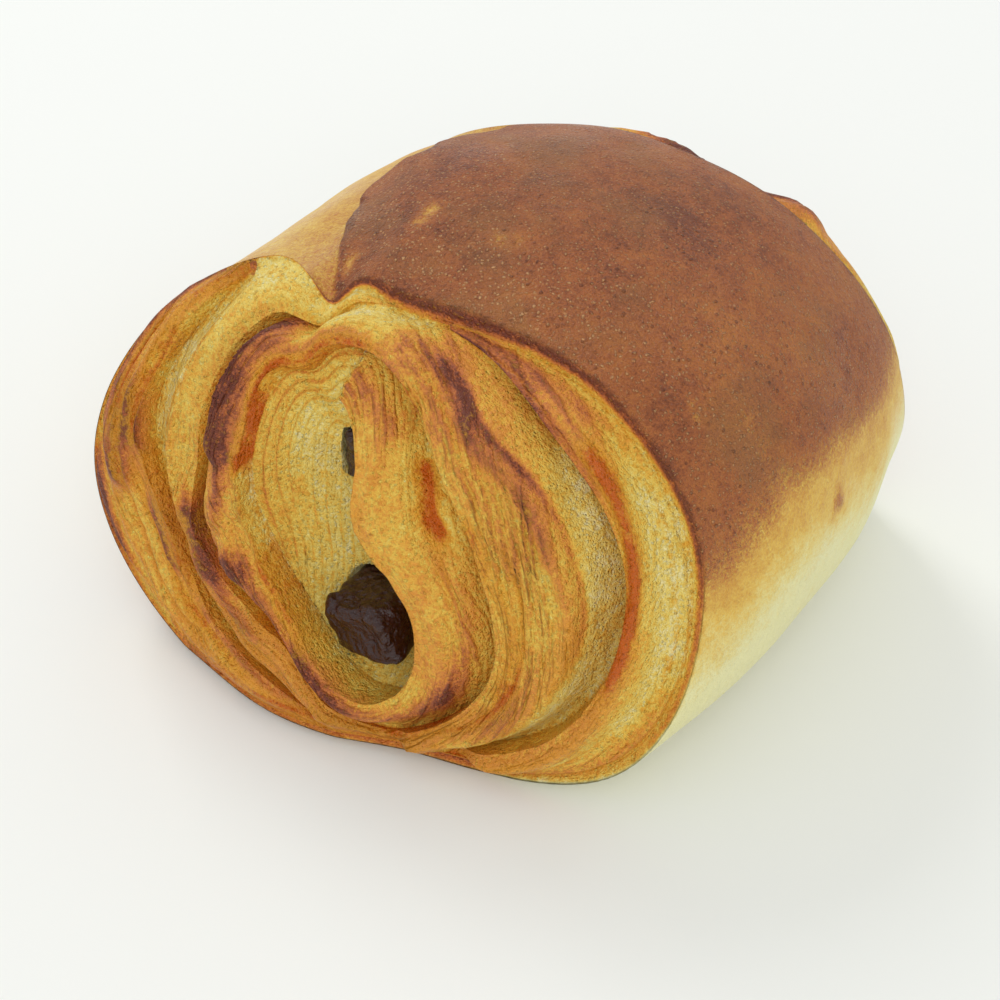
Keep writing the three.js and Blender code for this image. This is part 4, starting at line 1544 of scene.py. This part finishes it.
    def material(self) -> bpy.types.Material:
        """Build the material.

        Returns:
            The new material.
        """
        material = bpy.data.materials.new(self.name)
        material.use_nodes = True
        tree = material.node_tree
        shader = tree.nodes["Principled BSDF"]
        seen = self.patterns(tree)
        ends = self.end_colour(tree, seen)
        crust = self.crust_colour(tree, seen)
        colour = add_node(tree, "ShaderNodeMix", {"Factor": seen["skin"], 6: ends, 7: crust}, **COLOURS)
        tree.links.new(colour.outputs[2], shader.inputs["Base Color"])
        dull = []
        for source, limits in (("run", (0.0, 1.0, 0.50, 0.26)), ("rough", (0.1, 1.0, 0.50, 0.34))):
            step = add_node(tree, "ShaderNodeMapRange", (seen[source], *limits), **SOFT_STEP)
            dull.append(step.outputs["Result"])
        mix = {"Factor": seen["skin"], 2: dull[0], 3: dull[1]}
        roughness = add_node(tree, "ShaderNodeMix", mix, **NUMBERS)
        tree.links.new(roughness.outputs[0], shader.inputs["Roughness"])
        tree.links.new(self.relief(tree, seen), shader.inputs["Normal"])
        shader.inputs["Specular IOR Level"].default_value = self.specular_level
        return material


@dataclass(frozen=True)
class ChocolateFinish:
    """Dark chocolate that has melted and set again: nearly black brown with a wet-looking gloss.

    Attributes:
        name: the material's name.
        colour: its colour.
        roughness: how dull its gloss is.
        ripples_a_metre: how close together its ripples lie, a little over 1 mm apart.
        ripple_depth: how deep they are, in millimetres.
    """

    name: str = "set_dark_chocolate"
    colour: str = "#301009"
    roughness: float = 0.17
    ripples_a_metre: float = 900.0
    ripple_depth: float = 0.9

    def material(self) -> bpy.types.Material:
        """Build the material.

        Returns:
            The new material.
        """
        material = bpy.data.materials.new(self.name)
        material.use_nodes = True
        tree = material.node_tree
        shader = tree.nodes["Principled BSDF"]
        place = add_node(tree, "ShaderNodeTexCoord").outputs["Object"]
        ripples = {"Vector": place, "Scale": self.ripples_a_metre, "Detail": 4.0}
        ripples = add_node(tree, "ShaderNodeTexNoise", ripples)
        relief = add_node(tree, "ShaderNodeBump", {
            "Height": ripples.outputs["Fac"], "Strength": 1.0, "Distance": self.ripple_depth * MM,
        })
        tree.links.new(relief.outputs["Normal"], shader.inputs["Normal"])
        shader.inputs["Base Color"].default_value = linear_colour(self.colour)
        shader.inputs["Roughness"].default_value = self.roughness
        return material


@dataclass(frozen=True)
class FloorFinish:
    """Smooth white floor, matt and even."""

    name: str = "white_paper"
    colour: str = "#f2f3ee"
    roughness: float = 0.8

    def material(self) -> bpy.types.Material:
        """Build the material.

        Returns:
            The new material.
        """
        material = bpy.data.materials.new(self.name)
        material.use_nodes = True
        shader = material.node_tree.nodes["Principled BSDF"]
        shader.inputs["Base Color"].default_value = linear_colour(self.colour)
        shader.inputs["Roughness"].default_value = self.roughness
        return material


@dataclass
class Pastry:
    """The whole pastry: the dough's skin and the batons in it.

    Attributes:
        columns_a_turn: how many columns of points go round the roll.
        near_steps: how many points lie across a layer of the near end.
        far_steps: how many lie across one of the far end.
        side_steps: how many steps lie between the rims.
        merge: the distance under which points are merged, in millimetres.
        batons: the upper and the lower baton.
    """

    columns_a_turn: int = 240
    near_steps: int = 64
    far_steps: int = 20
    side_steps: int = 84
    merge: float = 0.002
    batons: tuple = (
        Baton("baton_upper", x=-1.8, z=36.8, width=9.4, height=9.6, lean=8.0, near=-32.6, far=27.0),
        Baton("baton_lower", x=3.0, z=16.6, width=11.6, height=9.0, lean=-14.0, near=-42.6, far=36.2),
    )

    def frame_shift(self) -> Vector:
        """Return where the frame has the roll's own origin, read from the lower baton's near end."""
        low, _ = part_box("baton_lower")
        return Vector((0.0, low.y - self.batons[1].near * MM, 0.0))

    def build_dough(self, shift: Vector) -> bpy.types.Object:
        """Build the dough's skin as one closed mesh, with a channel for each baton.

        Args:
            shift: the frame's place of the roll's own origin, in metres.

        Returns:
            The new object.
        """
        near = RollEnd(SIZES.near_rim, SIZES.near_middle_y, Facing.NEAR, 1.0,
                       self.columns_a_turn, self.near_steps, seed=3)
        far = RollEnd(SIZES.far_rim, SIZES.far_middle_y, Facing.FAR, SIZES.far_relief,
                      self.columns_a_turn, self.far_steps, seed=11, folds=FAR_FOLDS)
        side = LoafSide(near, far, self.columns_a_turn, self.side_steps, SCUFFS)
        outside = side.grid()
        patches = [outside]
        for end, column in ((near, 0), (far, -1)):
            layers = end.layer_grid()
            patches += [layers, end.bowl_grid(layers), end.lip_grid(layers, outside, column)]
        pieces = [add_grid(f"skin_{index}", patch, shift) for index, patch in enumerate(patches)]
        select_only(*pieces)
        bpy.ops.object.join()
        dough = bpy.context.object
        dough.name = "dough_baked"
        dough.data.name = "dough_baked"
        own_place(dough)
        bpy.ops.object.mode_set(mode="EDIT")
        bpy.ops.mesh.select_all(action="SELECT")
        bpy.ops.mesh.remove_doubles(threshold=self.merge * MM)
        bpy.ops.mesh.dissolve_degenerate(threshold=self.merge / 2 * MM)
        bpy.ops.mesh.normals_make_consistent(inside=False)
        bpy.ops.object.mode_set(mode="OBJECT")
        for baton in self.batons:
            self.cut_channel(dough, baton, shift)
        select_only(dough)
        bpy.ops.object.shade_smooth()
        return dough

    def cut_channel(self, dough: bpy.types.Object, baton: Baton, shift: Vector) -> None:
        """Cut the channel of one baton out of the dough.

        Args:
            dough: the dough.
            baton: the baton.
            shift: the frame's place of the roll's own origin, in metres.
        """
        cutter = baton.bar(f"{baton.name}_channel", baton.gap, shift)
        select_only(dough)
        cut = dough.modifiers.new("channel", "BOOLEAN")
        cut.operation = "DIFFERENCE"
        cut.solver = "MANIFOLD"
        cut.object = cutter
        bpy.ops.object.modifier_apply(modifier=cut.name)
        bpy.data.objects.remove(cutter)

    def build(self) -> None:
        """Build every piece, dress it and join it to the frame."""
        shift = self.frame_shift()
        crumb = DoughFinish().material()
        dough = self.build_dough(shift)
        settle(dough, crumb, "dough")
        chocolate = ChocolateFinish().material()
        for baton in self.batons:
            settle(baton.build(shift), chocolate, baton.name)


def settle(piece: bpy.types.Object, material: bpy.types.Material, node: str) -> None:
    """Dress a piece, let it ride on the root body and stand for its CAD node.

    Args:
        piece: the finished piece.
        material: its finish.
        node: the CAD node that it replaces.
    """
    piece.data.materials.clear()
    piece.data.materials.append(material)
    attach(piece, "root")
    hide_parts(node)
    LOG.info("%s stands for %s: %d faces", piece.name, node, len(piece.data.polygons))


@dataclass
class Studio:
    """The pale floor, the soft lights and the camera.

    Attributes:
        floor_size: the floor's width, in metres.
        floor_drop: how far the floor lies below the pastry, in metres, so that the two don't flicker.
        azimuth: the camera's angle round the pastry from its near end, in degrees.
        elevation: the camera's angle above the floor, in degrees.
        distance: the camera's distance from the pivot, in millimetres.
        lens: the camera's focal length, in millimetres.
        sensor: the camera's sensor width, in millimetres.
        pivot: the point that the camera's place is measured from, in millimetres.
        aim: the point that the camera looks at, in millimetres.
        lights: each light's name, place and size in metres, power in watts and colour.
        sky_colour: the colour of the light from all round.
        sky_strength: the strength of that light.
    """

    floor_size: float = 6.0
    floor_drop: float = 0.0002
    azimuth: float = 35.0
    elevation: float = 42.0
    distance: float = 238.0
    lens: float = 60.0
    sensor: float = 36.0
    pivot: tuple = (0.0, 0.0, 25.0)
    aim: tuple = (2.2, -9.4, 15.0)
    lights: tuple = (
        ("window", (-1.8, 0.8, 1.7), 0.9, 18.0, "#ffffff"),
        ("room", (1.4, -1.8, 2.2), 2.2, 23.0, "#fffefc"),
    )
    sky_colour: str = "#f4f6f8"
    sky_strength: float = 0.82

    def view_direction(self) -> Vector:
        """Return the unit vector from the pastry towards the camera."""
        a, e = math.radians(self.azimuth), math.radians(self.elevation)
        return Vector((math.sin(a) * math.cos(e), -math.cos(a) * math.cos(e), math.sin(e)))

    def build_floor(self) -> None:
        """Lay the floor that the pastry rests on."""
        deselect_all()
        bpy.ops.mesh.primitive_plane_add(size=self.floor_size, location=(0, 0, -self.floor_drop))
        floor = bpy.context.object
        floor.name = "paper_floor"
        own_place(floor)
        floor.data.materials.append(FloorFinish().material())

    def build_camera(self, shift: Vector) -> None:
        """Set the camera at the photograph's angle, for a frame of 1000 by 1000.

        Args:
            shift: the frame's place of the roll's own origin, in metres.
        """
        place = (Vector(self.pivot) + self.view_direction() * self.distance) * MM + shift
        aim = Vector(self.aim) * MM + shift
        data = bpy.data.cameras.new("camera")
        data.lens = self.lens
        data.sensor_width = self.sensor
        data.sensor_fit = "HORIZONTAL"
        data.clip_start = 0.01
        camera = bpy.data.objects.new("camera", data)
        camera.location = place
        camera.rotation_euler = (aim - place).to_track_quat("-Z", "Y").to_euler()
        bpy.context.scene.collection.objects.link(camera)
        bpy.context.scene.camera = camera

    def add_light(self, name: str, place: tuple, size: float, power: float, colour: str) -> None:
        """Add a soft square light that points at the pastry.

        Args:
            name: the light's name.
            place: where it stands, in metres.
            size: its width, in metres.
            power: its power, in watts.
            colour: its sRGB colour.
        """
        data = bpy.data.lights.new(name, "AREA")
        data.size = size
        data.energy = power
        data.color = linear_colour(colour)[:3]
        light = bpy.data.objects.new(name, data)
        light.location = place
        light.rotation_euler = (Vector((0, 0, 0.02)) - Vector(place)).to_track_quat("-Z", "Y").to_euler()
        bpy.context.scene.collection.objects.link(light)

    def build_lights(self) -> None:
        """Light the pastry as by a bright, overcast window."""
        for light in self.lights:
            self.add_light(*light)
        world = bpy.data.worlds.new("overcast")
        world.use_nodes = True
        background = world.node_tree.nodes["Background"]
        background.inputs["Color"].default_value = linear_colour(self.sky_colour)
        background.inputs["Strength"].default_value = self.sky_strength
        bpy.context.scene.world = world
        bpy.context.scene.view_settings.view_transform = "Standard"

    def build(self, shift: Vector) -> None:
        """Build the floor, the camera and the lights.

        Args:
            shift: the frame's place of the roll's own origin, in metres.
        """
        self.build_floor()
        self.build_camera(shift)
        self.build_lights()


def main() -> None:
    """Build the pastry and its studio in order."""
    logging.basicConfig(level=logging.INFO, format="%(name)s: %(message)s")
    pastry = Pastry()
    pastry.build()
    Studio().build(pastry.frame_shift())


if __name__ == "__main__":
    main()
